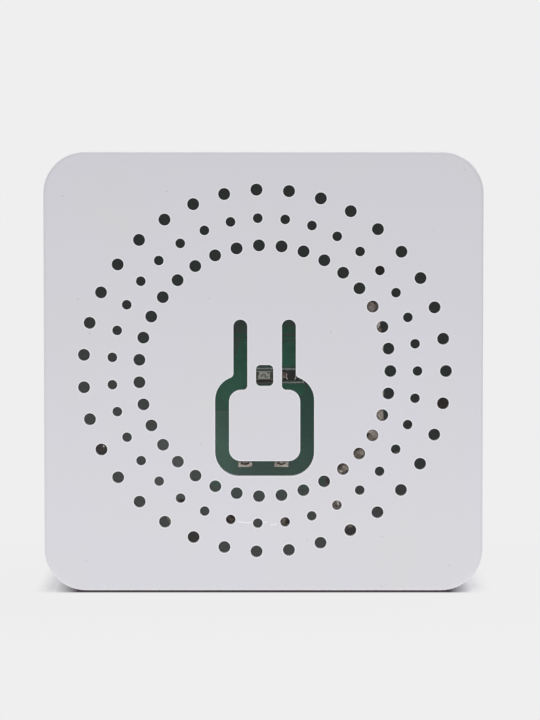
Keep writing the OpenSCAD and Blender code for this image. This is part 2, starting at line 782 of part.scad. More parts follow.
// Box clamp that the screw draws up against the contact bar
module terminal_clamp(i) {
    color("goldenrod") on_back() translate([pole_x(i), clamp_y, 0]) difference() {
        translate([-clamp_w / 2, 0, sole_u]) cube([clamp_w, clamp_l, nut_top_u - sole_u]);
        translate([-tunnel_w / 2, -eps, wire_u]) cube([tunnel_w, clamp_l + 2 * eps, nut_u - wire_u]);
        translate([0, clamp_l / 2, nut_u - eps])
            cylinder(d = screw_d + 2 * screw_clear, h = nut_t + 2 * eps);
    }
}

module terminal_screw(i) {
    color("silver") on_back() translate([pole_x(i), screw_y, 0]) difference() {
        union() {
            translate([0, 0, bar_top_u + fit / 2]) cylinder(d = screw_d, h = head_u - bar_top_u);
            translate([0, 0, head_u]) cylinder(d = screw_head_d, h = screw_head_h);
        }
        translate([-screw_head_d, -driver_slot_w / 2, head_top_u - driver_slot_d])
            cube([2 * screw_head_d, driver_slot_w, screw_head_h]);
    }
}

module on_relay() {
    on_back([relay_x, relay_y]) children();
}

module relay_base() {
    color("black") on_relay() difference() {
        translate([-relay_w / 2 + relay_wall + fit, relay_wall + fit, 0])
            cube([relay_w - 2 * (relay_wall + fit), relay_l - 2 * (relay_wall + fit), relay_base_t]);
        translate([-blade_w / 2 - fit, fixed_leg_y - fit, -eps])
            cube([blade_w + 2 * fit, fixed_leg_t + 2 * fit, relay_base_t + 2 * eps]);
        translate([com_x - com_w / 2 - fit, yoke_y - fit, -eps])
            cube([com_w + 2 * fit, yoke_t + 2 * fit, relay_base_t + 2 * eps]);
        for (s = [-1, 1]) translate([s * coil_pin_x, coil_pin_y, -eps])
            cylinder(r = lead_r + fit, h = relay_base_t + 2 * eps);
    }
}

module relay_case() {
    color("royalblue") on_relay() difference() {
        translate([0, relay_l / 2, 2 * fit])
            soft_slab(relay_w, relay_l, relay_corner_r, relay_h - 2 * fit, relay_edge_r);
        translate([-relay_w / 2 + relay_wall, relay_wall, 0])
            cube([relay_w - 2 * relay_wall, relay_l - 2 * relay_wall, relay_in_h]);
    }
}

module relay_yoke() {
    color("lightsteelblue") on_relay() {
        translate([-yoke_w / 2, yoke_y, yoke_u]) cube([yoke_w, yoke_t, hinge_u - yoke_u]);
        translate([-yoke_w / 2, hinge_y, hinge_u]) rotate([0, 90, 0]) cylinder(d = yoke_t, h = yoke_w);
        translate([-yoke_w / 2, yoke_y, yoke_u]) cube([yoke_w, coil_y + pole_r - yoke_y, yoke_t]);
        translate([com_x - com_w / 2, yoke_y, -board_t]) cube([com_w, yoke_t, board_t + yoke_u + eps]);
    }
}

module relay_core() {
    color("lightsteelblue") on_relay() translate([0, coil_y, 0]) {
        translate([0, 0, yoke_u + yoke_t]) cylinder(r = core_r, h = pole_top_u - yoke_u - yoke_t);
        translate([0, 0, pole_top_u - pole_t]) cylinder(r = pole_r, h = pole_t);
    }
}

module relay_bobbin() {
    color("ivory") on_relay() translate([0, coil_y, bobbin_u]) difference() {
        union() {
            cylinder(r = core_r + bobbin_t, h = bobbin_h);
            for (z = [0, bobbin_h - bobbin_t]) translate([-bobbin_w / 2, -bobbin_l / 2, z])
                cube([bobbin_w, bobbin_l, bobbin_t]);
        }
        translate([0, 0, -eps]) cylinder(r = core_r + fit / 2, h = bobbin_h + 2 * eps);
    }
}

module relay_winding() {
    color("chocolate") on_relay() translate([0, coil_y, bobbin_u + bobbin_t]) difference() {
        cylinder(d = bobbin_l - 2 * winding_inset, h = bobbin_h - 2 * bobbin_t);
        translate([0, 0, -eps]) cylinder(r = core_r + bobbin_t, h = bobbin_h);
    }
}

module relay_armature() {
    color("lightsteelblue") on_relay()
        translate([-yoke_w / 2 + fit, yoke_y, armature_u]) cube([yoke_w - 2 * fit, armature_l, armature_t]);
}

module relay_moving_contact() {
    color("goldenrod") on_relay() {
        start_y = hinge_y + blade_start;
        translate([-blade_w / 2, start_y, armature_u + armature_t])
            cube([blade_w, blade_y + rivet_r - start_y, blade_t]);
        translate([0, blade_y, moving_face_u]) cylinder(r = rivet_r, h = rivet_t + eps);
    }
}

module relay_fixed_contact() {
    color("goldenrod") on_relay() {
        plate_u = fixed_face_u - rivet_t - fixed_plate_t;
        plate_y = blade_y - rivet_r - fixed_plate_over;
        translate([0, blade_y, plate_u]) cylinder(r = rivet_r, h = fixed_face_u - plate_u);
        translate([-blade_w / 2, plate_y, plate_u])
            cube([blade_w, fixed_leg_y + fixed_leg_t - plate_y, fixed_plate_t]);
        translate([-blade_w / 2, fixed_leg_y, fit]) cube([blade_w, fixed_leg_t, plate_u - fit + eps]);
        translate([-fixed_pin_w / 2, fixed_leg_y, -board_t])
            cube([fixed_pin_w, fixed_leg_t, board_t + fit + eps]);
    }
}

// Sleeved can standing on its rubber bung, with the crimp groove near the foot
module can(d, h) {
    r = d / 2;
    bevel = 0.5;
    groove_r = 0.7;
    groove_depth = 0.35;
    groove_u = 1.4;
    rotate_extrude() difference() {
        union() {
            square([r - bevel, h]);
            square([r, h - bevel]);
            translate([r - bevel, h - bevel]) circle(bevel);
        }
        translate([r + groove_r - groove_depth, groove_u]) circle(groove_r);
    }
}

module input_capacitor() {
    color("midnightblue") on_back(cap_in_at) translate([0, 0, part_lift])
        can(cap_in_d, cap_in_h - part_lift);
}

module output_capacitor() {
    color("midnightblue") on_back(cap_out_at) translate([0, 0, part_lift])
        can(cap_out_d, cap_out_h - part_lift);
}

module choke_core() {
    color("darkslategray") on_back(choke_at) translate([0, 0, part_lift]) {
        cylinder(d = choke_d, h = choke_flange);
        cylinder(d = choke_core_d, h = choke_h - part_lift);
        translate([0, 0, choke_h - part_lift - choke_flange]) cylinder(d = choke_d, h = choke_flange);
    }
}

module choke_winding() {
    color("chocolate") on_back(choke_at) translate([0, 0, part_lift + choke_flange])
        difference() {
            cylinder(d = choke_wind_d, h = choke_h - part_lift - 2 * choke_flange);
            translate([0, 0, -eps]) cylinder(d = choke_core_d, h = choke_h);
        }
}

module varistor() {
    color("steelblue") on_back(varistor_at) {
        edge = varistor_t / 3;
        translate([0, varistor_t / 2, part_lift + varistor_r]) rotate([90, 0, 0]) rotate_extrude() {
            square([varistor_r - edge, varistor_t]);
            translate([0, edge]) square([varistor_r, varistor_t - 2 * edge]);
            for (z = [edge, varistor_t - edge]) translate([varistor_r - edge, z]) circle(edge);
        }
    }
}

module fusible_resistor() {
    color("darkkhaki") on_back(fuse_at)
        translate([-fuse_l / 2, 0, fuse_u]) rotate([0, 90, 0]) {
            cap_l = fuse_l / 4;
            cylinder(d = fuse_d - 2 * fuse_neck, h = fuse_l);
            cylinder(d = fuse_d, h = cap_l);
            translate([0, 0, fuse_l - cap_l]) cylinder(d = fuse_d, h = cap_l);
        }
}

module lead(at, top) {
    translate([at[0], at[1], -board_t]) cylinder(r = lead_r, h = board_t + top);
}

// Tinned leads of the supply parts, the relay coil and the tact switch
module component_leads() {
    color("silver") {
        on_back() {
            for (p = concat(pair(cap_in_at, cap_in_pitch), pair(cap_out_at, cap_out_pitch),
                            pair(choke_at, choke_pitch))) lead(p, part_lift);
            for (p = tact_pins) lead(p, 0);
            for (p = coil_pins) lead(p, bobbin_u);
            for (p = pair(varistor_at, varistor_pitch)) lead(p, varistor_lead_u);
            for (s = [0, 1]) translate([fuse_at[0], fuse_at[1], 0]) mirror([s, 0, 0]) {
                translate([fuse_reach, 0, -board_t]) cylinder(r = lead_r, h = board_t + fuse_u);
                translate([fuse_l / 2, 0, fuse_u]) rotate([0, 90, 0]) cylinder(r = lead_r, h = fuse_lead_l);
                translate([fuse_reach, 0, fuse_u]) sphere(lead_r);
            }
        }
    }
}

module wifi_board() {
    color("darkgreen") on_back([radio_x, radio_y]) {
        translate([-radio_w / 2, -radio_t / 2, 0]) cube([radio_w, radio_t, radio_h]);
        translate([-radio_tab_w / 2, -radio_t / 2, -board_t]) cube([radio_tab_w, radio_t, board_t + eps]);
    }
}

module wifi_shield() {
    color("silver") on_back([radio_x, radio_y - radio_t / 2]) {
        translate([0, 0, shield_u + shield_h / 2]) rotate([90, 0, 0])
            soft_slab(shield_w, shield_h, shield_r, shield_t, shield_edge_r);
    }
}

module tact_switch() {
    color("black") on_back([0, tact_top_y]) difference() {
        translate([-tact_w / 2, -tact_l, 0]) cube([tact_w, tact_l, tact_h]);
        translate([0, eps, button_u]) rotate([90, 0, 0]) cylinder(r = plunger_r + fit / 2, h = plunger_bore);
    }
}

module tact_plunger() {
    color("dimgray") translate([0, plunger_top_y, button_z]) rotate([90, 0, 0])
        cylinder(r = plunger_r, h = plunger_out + plunger_root);
}

stand() front_cover();
stand() rear_shell();
stand() button_cap();
stand() main_board();
stand() solder_joints();
stand() indicator_led();
stand() chip_parts();
stand() chip_terminations();
stand() converter_ic();
stand() bridge_rectifier();
stand() terminal_housing();
stand() terminal_contacts();
for (i = [1:poles]) {
    stand() terminal_clamp(i);
    stand() terminal_screw(i);
}
stand() relay_base();
stand() relay_case();
stand() relay_yoke();
stand() relay_core();
stand() relay_bobbin();
stand() relay_winding();
stand() relay_armature();
stand() relay_moving_contact();
stand() relay_fixed_contact();
stand() input_capacitor();
stand() output_capacitor();
stand() choke_core();
stand() choke_winding();
stand() varistor();
stand() fusible_resistor();
stand() component_leads();
stand() wifi_board();
stand() wifi_shield();
stand() tact_switch();
stand() tact_plunger();
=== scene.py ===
import math

import bmesh
import bpy
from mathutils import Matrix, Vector


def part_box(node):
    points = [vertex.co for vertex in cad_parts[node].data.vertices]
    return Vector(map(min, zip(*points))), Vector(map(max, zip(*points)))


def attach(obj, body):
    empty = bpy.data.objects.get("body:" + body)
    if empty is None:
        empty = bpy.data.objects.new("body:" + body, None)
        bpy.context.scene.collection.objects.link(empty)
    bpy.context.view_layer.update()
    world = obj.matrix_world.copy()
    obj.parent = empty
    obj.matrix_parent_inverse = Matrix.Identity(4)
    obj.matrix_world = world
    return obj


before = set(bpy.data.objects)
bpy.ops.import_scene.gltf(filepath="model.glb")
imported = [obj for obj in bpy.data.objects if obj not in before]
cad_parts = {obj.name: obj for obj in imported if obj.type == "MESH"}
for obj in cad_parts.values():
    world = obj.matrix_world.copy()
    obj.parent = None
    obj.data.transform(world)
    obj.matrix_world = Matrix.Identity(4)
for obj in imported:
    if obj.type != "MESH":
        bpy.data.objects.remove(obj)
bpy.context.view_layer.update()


# Studio: a small white table under an even white surround, a wide soft box overhead in front
# and a weaker one behind. The lit table throws light up onto the foot of the upright face.
MM = 0.001
SURROUND = "#EFEFEF"
FILL_TONE = "#F6F7FB"
FILL_FRONT = 0.99
FILL_REAR = 0.4
FILL_SPAN = (-1.0, 0.4)
FILL_BELOW = 0.6
HORIZON_BLUR = 0.15
DIM_SPAN = (-0.7, -0.9)
DIM_BELOW = 0.064
DIM_ABOVE = 0.08
DIM_SLANT = 0.5
DIM_LEVEL = 0.42
COLOURS = {"data_type": "RGBA"}
SMOOTH = {"interpolation_type": "SMOOTHSTEP"}


def srgb(code):
    """Linear colour of an sRGB hex code."""
    parts = [int(code[i:i + 2], 16) / 255 for i in (1, 3, 5)]
    linear = [p / 12.92 if p <= 0.04045 else ((p + 0.055) / 1.055) ** 2.4 for p in parts]
    return (*linear, 1.0)


def add(tree, kind, settings=None, **inputs):
    """Adds a shader node, sets its options and fills or links its inputs, by name or as i0, i1."""
    made = tree.nodes.new("ShaderNode" + kind)
    for option, value in (settings or {}).items():
        setattr(made, option, value)
    for name, value in inputs.items():
        key = int(name[1:]) if name[1:].isdigit() else name.replace("_", " ")
        if isinstance(value, bpy.types.NodeSocket):
            tree.links.new(value, made.inputs[key])
        else:
            made.inputs[key].default_value = value
    return made


def empty_material(name):
    """A material with nothing in it yet, and its node tree."""
    made = bpy.data.materials.new(name)
    made.use_nodes = True
    made.node_tree.nodes.clear()
    return made, made.node_tree


def seen_rays(tree):
    """One for rays from the lens, a mirror or a clear body, and zero for lighting rays."""
    path = add(tree, "LightPath").outputs
    seen = add(tree, "Math", {"operation": "MAXIMUM"}, i0=path["Is Camera Ray"],
               i1=path["Is Glossy Ray"])
    both = add(tree, "Math", {"operation": "MAXIMUM"}, i0=seen.outputs[0],
               i1=path["Is Transmission Ray"])
    return both.outputs[0]


scene = bpy.context.scene
scene.view_settings.view_transform = "Standard"

world = bpy.data.worlds.new("white_surround")
scene.world = world
world.use_nodes = True
tree = world.node_tree
tree.nodes.clear()
heading = add(tree, "SeparateXYZ", Vector=add(tree, "TexCoord").outputs["Generated"]).outputs
side = add(tree, "MapRange", Value=heading["Y"], From_Min=FILL_SPAN[0], From_Max=FILL_SPAN[1],
           To_Min=FILL_FRONT, To_Max=FILL_REAR)
share = add(tree, "MapRange", Value=heading["Z"], From_Min=-HORIZON_BLUR, From_Max=HORIZON_BLUR,
            To_Min=FILL_BELOW, To_Max=1.0)
level = add(tree, "Math", {"operation": "MULTIPLY"}, i0=side.outputs[0], i1=share.outputs[0])
fill = add(tree, "Background", Color=srgb(FILL_TONE), Strength=level.outputs[0])
# Low down past the table's front edge the room is dim, and gloss that looks that way shows it.
ahead = add(tree, "MapRange", Value=heading["Y"], From_Min=DIM_SPAN[0], From_Max=DIM_SPAN[1])
height = add(tree, "Math", {"operation": "MULTIPLY_ADD"}, i0=heading["X"], i1=DIM_SLANT,
             i2=heading["Z"])
low = add(tree, "MapRange", Value=height.outputs[0], From_Min=DIM_ABOVE, From_Max=DIM_BELOW)
dim = add(tree, "Math", {"operation": "MULTIPLY"}, i0=ahead.outputs[0], i1=low.outputs[0])
dim = add(tree, "Math", {"operation": "MULTIPLY"}, i0=dim.outputs[0],
          i1=add(tree, "LightPath").outputs["Is Glossy Ray"])
plain = add(tree, "MapRange", Value=dim.outputs[0], To_Min=1.0, To_Max=DIM_LEVEL)
shown = add(tree, "Background", Color=srgb(SURROUND), Strength=plain.outputs[0])
mixed = add(tree, "MixShader", i0=seen_rays(tree), i1=fill.outputs[0], i2=shown.outputs[0])
add(tree, "OutputWorld", Surface=mixed.outputs[0])

# Matt white acrylic lit from below: plain to the eye, apart from a faint real shadow round the
# foot and a dark shadow painted along it. From beneath the sheet is left clear, so that the
# module's underside can be looked at.
TABLE_PAINT = "#F4F4F4"
TABLE_HALF = 110 * MM
TABLE_DROP = 0.002 * MM
TABLE_BOUNCE = 1.3
SHADOW_HALF = (18.7 * MM, 9.0 * MM)
SHADOW_TIGHT = 2.0 * MM
SHADOW_FADE = 40 * MM
SHADOW_LEFT = 0.08
# Dark paint for the shadow painted at the foot.
FOOT_SHADOW_PAINT = "#4A4346"
FOOT_HALF = (16.6 * MM, 9.0 * MM)
FOOT_DARK = 0.9 * MM
FOOT_FADE = 1.6 * MM
FOOT_SOFT = 2.1 * MM
CORNERS = ((-1, -1), (1, -1), (1, 1), (-1, 1))
table_sheet, tree = empty_material("lit_table_acrylic")
sheet = add(tree, "NewGeometry").outputs
place = add(tree, "VectorMath", {"operation": "ABSOLUTE"}, i0=sheet["Position"])
beyond = add(tree, "VectorMath", {"operation": "SUBTRACT"}, i0=place.outputs[0],
             i1=(*SHADOW_HALF, 0))
beyond = add(tree, "VectorMath", {"operation": "MAXIMUM"}, i0=beyond.outputs[0], i1=(0, 0, 0))
gap = add(tree, "VectorMath", {"operation": "LENGTH"}, i0=beyond.outputs[0]).outputs["Value"]
near = add(tree, "MapRange", SMOOTH, Value=gap, From_Max=SHADOW_TIGHT, To_Max=1 - SHADOW_LEFT)
far = add(tree, "MapRange", SMOOTH, Value=gap, From_Min=SHADOW_TIGHT, From_Max=SHADOW_FADE,
          To_Max=SHADOW_LEFT)
plain = add(tree, "Math", {"operation": "ADD"}, i0=near.outputs[0], i1=far.outputs[0])
seen = seen_rays(tree)
unseen = add(tree, "Math", {"operation": "SUBTRACT"}, i0=1.0, i1=seen)
spot = add(tree, "SeparateXYZ", Vector=place.outputs[0]).outputs
# Painted shadow: under the module and in a narrow band round its long sides, the eye sees a dark
# paint in place of the table's glow.
foot = add(tree, "MapRange", Value=spot["Y"], From_Min=FOOT_HALF[1] + FOOT_FADE,
           From_Max=FOOT_HALF[1] + FOOT_DARK)
within = add(tree, "MapRange", Value=spot["X"], From_Min=FOOT_HALF[0] + FOOT_SOFT,
             From_Max=FOOT_HALF[0])
foot = add(tree, "Math", {"operation": "MULTIPLY"}, i0=foot.outputs[0], i1=within.outputs[0])
bare = add(tree, "Math", {"operation": "SUBTRACT"}, i0=1.0, i1=foot.outputs[0])
plain = add(tree, "Math", {"operation": "MULTIPLY"}, i0=plain.outputs[0], i1=bare.outputs[0])
plain = add(tree, "Math", {"operation": "MAXIMUM"}, i0=plain.outputs[0], i1=unseen.outputs[0])
tone = add(tree, "Mix", COLOURS, i0=foot.outputs[0], i6=srgb(TABLE_PAINT), i7=srgb(FOOT_SHADOW_PAINT))
paint = add(tree, "BsdfDiffuse", Color=tone.outputs[2])
bounce = add(tree, "MapRange", Value=seen, To_Min=TABLE_BOUNCE, To_Max=1.0)
glow = add(tree, "Emission", Color=srgb(SURROUND), Strength=bounce.outputs[0])
lit = add(tree, "MixShader", i0=plain.outputs[0], i1=paint.outputs[0], i2=glow.outputs[0])
clear = add(tree, "BsdfTransparent")
mixed = add(tree, "MixShader", i0=sheet["Backfacing"], i1=lit.outputs[0], i2=clear.outputs[0])
add(tree, "OutputMaterial", Surface=mixed.outputs[0])

table_mesh = bpy.data.meshes.new("table")
table_corners = [(x * TABLE_HALF, y * TABLE_HALF, -TABLE_DROP) for x, y in CORNERS]
table_mesh.from_pydata(table_corners, [], [(0, 1, 2, 3)])
table = bpy.data.objects.new("table", table_mesh)
table.data.materials.append(table_sheet)
scene.collection.objects.link(table)


def soft_box(name, at, aim, size, watts):
    """A square soft box aimed at a point."""
    lamp = bpy.data.lights.new(name, "AREA")
    lamp.shape = "SQUARE"
    lamp.size = size
    lamp.energy = watts
    box = bpy.data.objects.new(name, lamp)
    box.location = at
    box.rotation_euler = (Vector(aim) - Vector(at)).to_track_quat("-Z", "Y").to_euler()
    scene.collection.objects.link(box)


AIM = (0, 0, 0.02)
soft_box("overhead_box", at=(-0.06, -0.36, 0.75), aim=AIM, size=0.7, watts=1.0)
soft_box("rear_box", at=(0.12, 0.34, 0.30), aim=AIM, size=0.4, watts=0.9)


# Camera: level with the face and a little above it, as far off as the photograph's small
# taper from top to bottom says, framed so that the face lands where it was.
FACE_PX_PER_MM = 11.214
FACE_CENTRE_PX = (263.5, 372.25)
FRAME_PX = (540, 720)
LENS_TO_FACE = 300 * MM
CAMERA_RISE = math.radians(3.3)
SENSOR = 36.0
NEAREST = 10 * MM

cover_low, cover_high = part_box("front_cover")
face_mid = (cover_low + cover_high) / 2
face_mid.y = cover_low.y
lens_data = bpy.data.cameras.new("camera")
lens_data.sensor_width = SENSOR
lens_data.lens = FACE_PX_PER_MM * (LENS_TO_FACE / MM) * SENSOR / FRAME_PX[1]
lens_data.clip_start = NEAREST
camera = bpy.data.objects.new("camera", lens_data)
slide = Vector((FRAME_PX[0] / 2 - FACE_CENTRE_PX[0], 0, FACE_CENTRE_PX[1] - FRAME_PX[1] / 2))
back = Vector((0, -math.cos(CAMERA_RISE), math.sin(CAMERA_RISE)))
camera.location = face_mid + slide * MM / FACE_PX_PER_MM + back * LENS_TO_FACE
camera.rotation_euler = (-back).to_track_quat("-Z", "Y").to_euler()
scene.collection.objects.link(camera)
scene.camera = camera


# Rear shell: a five-sided box moulded in white ABS, with six driver holes and six wire
# openings. The mould was spark eroded, so the skin is matt with a fine pebble.
ABS_WHITE = "#D8D7DC"
ABS_CLOUD = "#D9D7D8"
# Pale tone for the highlight painted on moulded edges, and for scuffs.
ABS_HIGHLIGHT_AND_SCUFF = "#F7F6F8"
ABS_DUST = "#8E8B8C"
ABS_IOR = 1.53
ABS_ROUGH = (0.46, 0.62)
ABS_SPARK = 0.16 * MM
ABS_SPARK_HEIGHT = 0.0016 * MM
ABS_HAZE = 9 * MM
ABS_HAZE_SPAN = (0.45, 0.75)
ABS_SPECK_SPACING = 2.1 * MM
ABS_SPECK = 0.065 * MM
ABS_SPECK_CORE = 0.4
ABS_EDGE = 0.18 * MM
ABS_EDGE_SPAN = (0.998, 0.95)
ABS_EDGE_SHARE = 0.9
ABS_SCUFF = 0.06 * MM
MARK_SHARE = 0.7


def near_line(tree, place, start, end, half):
    """How far a faint mark on the line between two points covers the surface."""
    span = Vector(end) - Vector(start)
    out = add(tree, "VectorMath", {"operation": "SUBTRACT"}, i0=place, i1=start)
    along = add(tree, "VectorMath", {"operation": "DOT_PRODUCT"}, i0=out.outputs[0],
                i1=span / span.length_squared)
    held = add(tree, "Clamp", Value=along.outputs["Value"])
    foot = add(tree, "VectorMath", {"operation": "SCALE"}, i0=span, Scale=held.outputs[0])
    gap = add(tree, "VectorMath", {"operation": "DISTANCE"}, i0=out.outputs[0],
              i1=foot.outputs[0])
    return add(tree, "MapRange", Value=gap.outputs["Value"], From_Min=half / 2, From_Max=half,
               To_Min=MARK_SHARE, To_Max=0.0).outputs[0]


def moulded_abs(name, code, haze_code, highlight_and_scuff_code, scuffs=()):
    """White ABS from a spark-eroded mould: faint clouds, a few dark specks, scuffs, and a
    highlight painted on its edges.
    """
    made, tree = empty_material(name)
    place = add(tree, "TexCoord").outputs["Object"]
    cloud = add(tree, "TexNoise", Vector=place, Scale=1 / ABS_HAZE, Detail=3.0)
    amount = add(tree, "MapRange", Value=cloud.outputs[0], From_Min=ABS_HAZE_SPAN[0],
                 From_Max=ABS_HAZE_SPAN[1])
    skin = add(tree, "Mix", COLOURS, i0=amount.outputs[0], i6=srgb(code), i7=srgb(haze_code))
    dust = add(tree, "TexVoronoi", Vector=place, Scale=1 / ABS_SPECK_SPACING)
    reach = ABS_SPECK / ABS_SPECK_SPACING
    speck = add(tree, "MapRange", Value=dust.outputs["Distance"],
                From_Min=ABS_SPECK_CORE * reach, From_Max=reach, To_Min=MARK_SHARE, To_Max=0.0)
    skin = add(tree, "Mix", COLOURS, i0=speck.outputs[0], i6=skin.outputs[2], i7=srgb(ABS_DUST))
    for start, end in scuffs:
        mark = near_line(tree, place, start, end, ABS_SCUFF)
        skin = add(tree, "Mix", COLOURS, i0=mark, i6=skin.outputs[2], i7=srgb(highlight_and_scuff_code))
    pebble = add(tree, "TexNoise", Vector=place, Scale=1 / ABS_SPARK, Detail=2.0)
    rough = add(tree, "MapRange", Value=pebble.outputs[0], To_Min=ABS_ROUGH[0],
                To_Max=ABS_ROUGH[1])
    # Painted highlight: near every edge the base colour is lightened to a pale tone, while the
    # edge keeps its shape.
    edge = add(tree, "Bevel", {"samples": 6}, Radius=ABS_EDGE)
    even = add(tree, "VectorMath", {"operation": "DOT_PRODUCT"}, i0=edge.outputs[0],
               i1=add(tree, "NewGeometry").outputs["Normal"])
    painted_highlight = add(tree, "MapRange", Value=even.outputs["Value"], From_Min=ABS_EDGE_SPAN[0],
                 From_Max=ABS_EDGE_SPAN[1], To_Max=ABS_EDGE_SHARE)
    skin = add(tree, "Mix", COLOURS, i0=painted_highlight.outputs[0], i6=skin.outputs[2],
               i7=srgb(highlight_and_scuff_code))
    relief = add(tree, "Bump", Strength=1.0, Distance=ABS_SPARK_HEIGHT, Height=pebble.outputs[0])
    shader = add(tree, "BsdfPrincipled", Base_Color=skin.outputs[2], Roughness=rough.outputs[0],
                 IOR=ABS_IOR, Normal=relief.outputs[0])
    add(tree, "OutputMaterial", Surface=shader.outputs[0])
    return made


def dress(material, *names):
    """Gives the CAD nodes of these names one material."""
    for name in names:
        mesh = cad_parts[name].data
        mesh.materials.clear()
        mesh.materials.append(material)


WELD = 0.001 * MM
FLAT_WITHIN = math.radians(0.5)
ROUNDED_OVER = math.radians(40)
SPLIT_OVER = math.radians(20)


def soften(name, width):
    """Breaks the sharp edges of a CAD node with a small round, as a mould or a die leaves them."""
    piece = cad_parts[name]
    joined = piece.modifiers.new("joined", "WELD")
    joined.merge_threshold = WELD
    flattened = piece.modifiers.new("flattened", "DECIMATE")
    flattened.decimate_type = "DISSOLVE"
    flattened.angle_limit = FLAT_WITHIN
    rounded = piece.modifiers.new("rounded", "BEVEL")
    rounded.width = width
    rounded.segments = 2
    rounded.limit_method = "ANGLE"
    rounded.angle_limit = ROUNDED_OVER
    rounded.use_clamp_overlap = False
    parted = piece.modifiers.new("parted", "EDGE_SPLIT")
    parted.split_angle = SPLIT_OVER
    piece.modifiers.new("evened", "WEIGHTED_NORMAL")


case_abs = moulded_abs("moulded_white_abs", ABS_WHITE, ABS_CLOUD, ABS_HIGHLIGHT_AND_SCUFF)
dress(case_abs, "rear_shell")
soften("rear_shell", 0.1 * MM)


# Main board: glass epoxy with copper on both sides under green solder mask, held between
# the shell's ribs and the cover's posts. The mask is glossy over a faint woven ground.
RESIN_IOR = 1.55
WEAVE = 0.5 * MM
WEAVE_HEIGHT = 0.0005 * MM
# At a scale of one, a wave texture's bands repeat at this length.
BAND_PERIOD = 0.31416
DISH_CENTRE = (0, 0, 37 * MM)
DISH_RADIUS = 303 * MM
MASK_MOTTLE = 2.5 * MM
MASK_SPAN = (0.35, 0.65)
MASK_SPREAD = 0.03
MASK_LEFT = -4.4 * MM
MASK_RIGHT = -0.5 * MM


def dished(tree, place, ripple, height):
    """Normal of the board's front, dished a little by soldering, with a fine ripple on it."""
    front = add(tree, "CombineXYZ", X=0.0, Y=-1.0, Z=0.0)
    out = add(tree, "VectorMath", {"operation": "SUBTRACT"}, i0=place, i1=DISH_CENTRE)
    flat = add(tree, "VectorMath", {"operation": "MULTIPLY"}, i0=out.outputs[0], i1=(1, 0, 1))
    square = add(tree, "VectorMath", {"operation": "DOT_PRODUCT"}, i0=flat.outputs[0],
                 i1=flat.outputs[0])
    total = add(tree, "Math", {"operation": "MULTIPLY_ADD"}, i0=square.outputs["Value"],
                i1=0.5 / (DISH_RADIUS * height), i2=ripple)
    return add(tree, "Bump", Strength=1.0, Distance=height, Height=total.outputs[0],
               Normal=front.outputs[0]).outputs[0]


def solder_mask(name, deep, light, gloss, coat, right=None):
    """Cured liquid mask: green gloss, mottled by what lies under it, that may change rightward."""
    made, tree = empty_material(name)
    place = add(tree, "TexCoord").outputs["Object"]
    ground = add(tree, "TexNoise", Vector=place, Scale=1 / MASK_MOTTLE, Detail=4.0)
    tone = add(tree, "MapRange", Value=ground.outputs[0], From_Min=MASK_SPAN[0],
               From_Max=MASK_SPAN[1])
    green = add(tree, "Mix", COLOURS, i0=tone.outputs[0], i6=srgb(deep), i7=srgb(light))
    if right:
        across = add(tree, "SeparateXYZ", Vector=place)
        change = add(tree, "MapRange", SMOOTH, Value=across.outputs["X"], From_Min=MASK_LEFT,
                     From_Max=MASK_RIGHT)
        green = add(tree, "Mix", COLOURS, i0=change.outputs[0], i6=green.outputs[2],
                    i7=srgb(right))
    threads = [add(tree, "TexWave", {"bands_direction": axis}, Vector=place,
                   Scale=BAND_PERIOD / WEAVE).outputs[1] for axis in "XZ"]
    cloth = add(tree, "Math", {"operation": "MULTIPLY"}, i0=threads[0], i1=threads[1])
    relief = dished(tree, place, cloth.outputs[0], WEAVE_HEIGHT)
    rough = add(tree, "MapRange", Value=ground.outputs[0], To_Min=gloss - MASK_SPREAD,
                To_Max=gloss + MASK_SPREAD)
    shader = add(tree, "BsdfPrincipled", Base_Color=green.outputs[2], Roughness=rough.outputs[0],
                 IOR=RESIN_IOR, Normal=relief, Coat_Weight=coat, Coat_Roughness=gloss,
                 Coat_Normal=relief)
    add(tree, "OutputMaterial", Surface=shader.outputs[0])
    return made


bare_mask = solder_mask("solder_mask_on_glass_epoxy", "#2C5A47", "#356A53", gloss=0.09, coat=0.6)
dress(bare_mask, "main_board")


# Copper under the mask: etched pours and tracks on the board's front, 0.035 mm proud, where
# the slot and the lower vents show them. Copper makes the mask's green lighter and yellower.
# At the lower left a thin patch carries a greyer, lighter mask that paints a sheen there.
FACE_RISE = 0.1 * MM
FACE_SHIFT = 0.1 * MM
vent_mid = Vector((face_mid.x + FACE_SHIFT, 0, face_mid.z + FACE_RISE))
board_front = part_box("main_board")[0].y


def hang(name, shape, material, body):
    """Turns a finished shape into a piece that rides on a body."""
    mesh = bpy.data.meshes.new(name)
    shape.to_mesh(mesh)
    shape.free()
    mesh.materials.append(material)
    piece = bpy.data.objects.new(name, mesh)
    scene.collection.objects.link(piece)
    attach(piece, body)


def loft(shape, rings, smooth=False):
    """Adds a closed solid whose sides pass through rings of points."""
    rings = [[shape.verts.new(point) for point in ring] for ring in rings]
    for under, over in zip(rings, rings[1:]):
        for i in range(len(under)):
            j = (i + 1) % len(under)
            shape.faces.new((under[i], under[j], over[j], over[i])).smooth = smooth
    shape.faces.new(rings[0][::-1])
    shape.faces.new(rings[-1])
    bmesh.ops.recalc_face_normals(shape, faces=shape.faces)


def laid(path, rise):
    """Points at a height over the board's front, from mm about the vents' centre."""
    return [Vector((vent_mid.x + x * MM, board_front - rise, vent_mid.z + z * MM))
            for x, z in path]


def board_layer(name, outlines, height, material):
    """Closed flat prisms on the board's front, from outlines in mm about the vents' centre."""
    shape = bmesh.new()
    for outline in outlines:
        loft(shape, [laid(outline, rise) for rise in (0, height)])
    hang(name, shape, material, "module")


def bar(x0, x1, z0, z1):
    """Outline of a straight track."""
    return [(x0, z0), (x1, z0), (x1, z1), (x0, z1)]


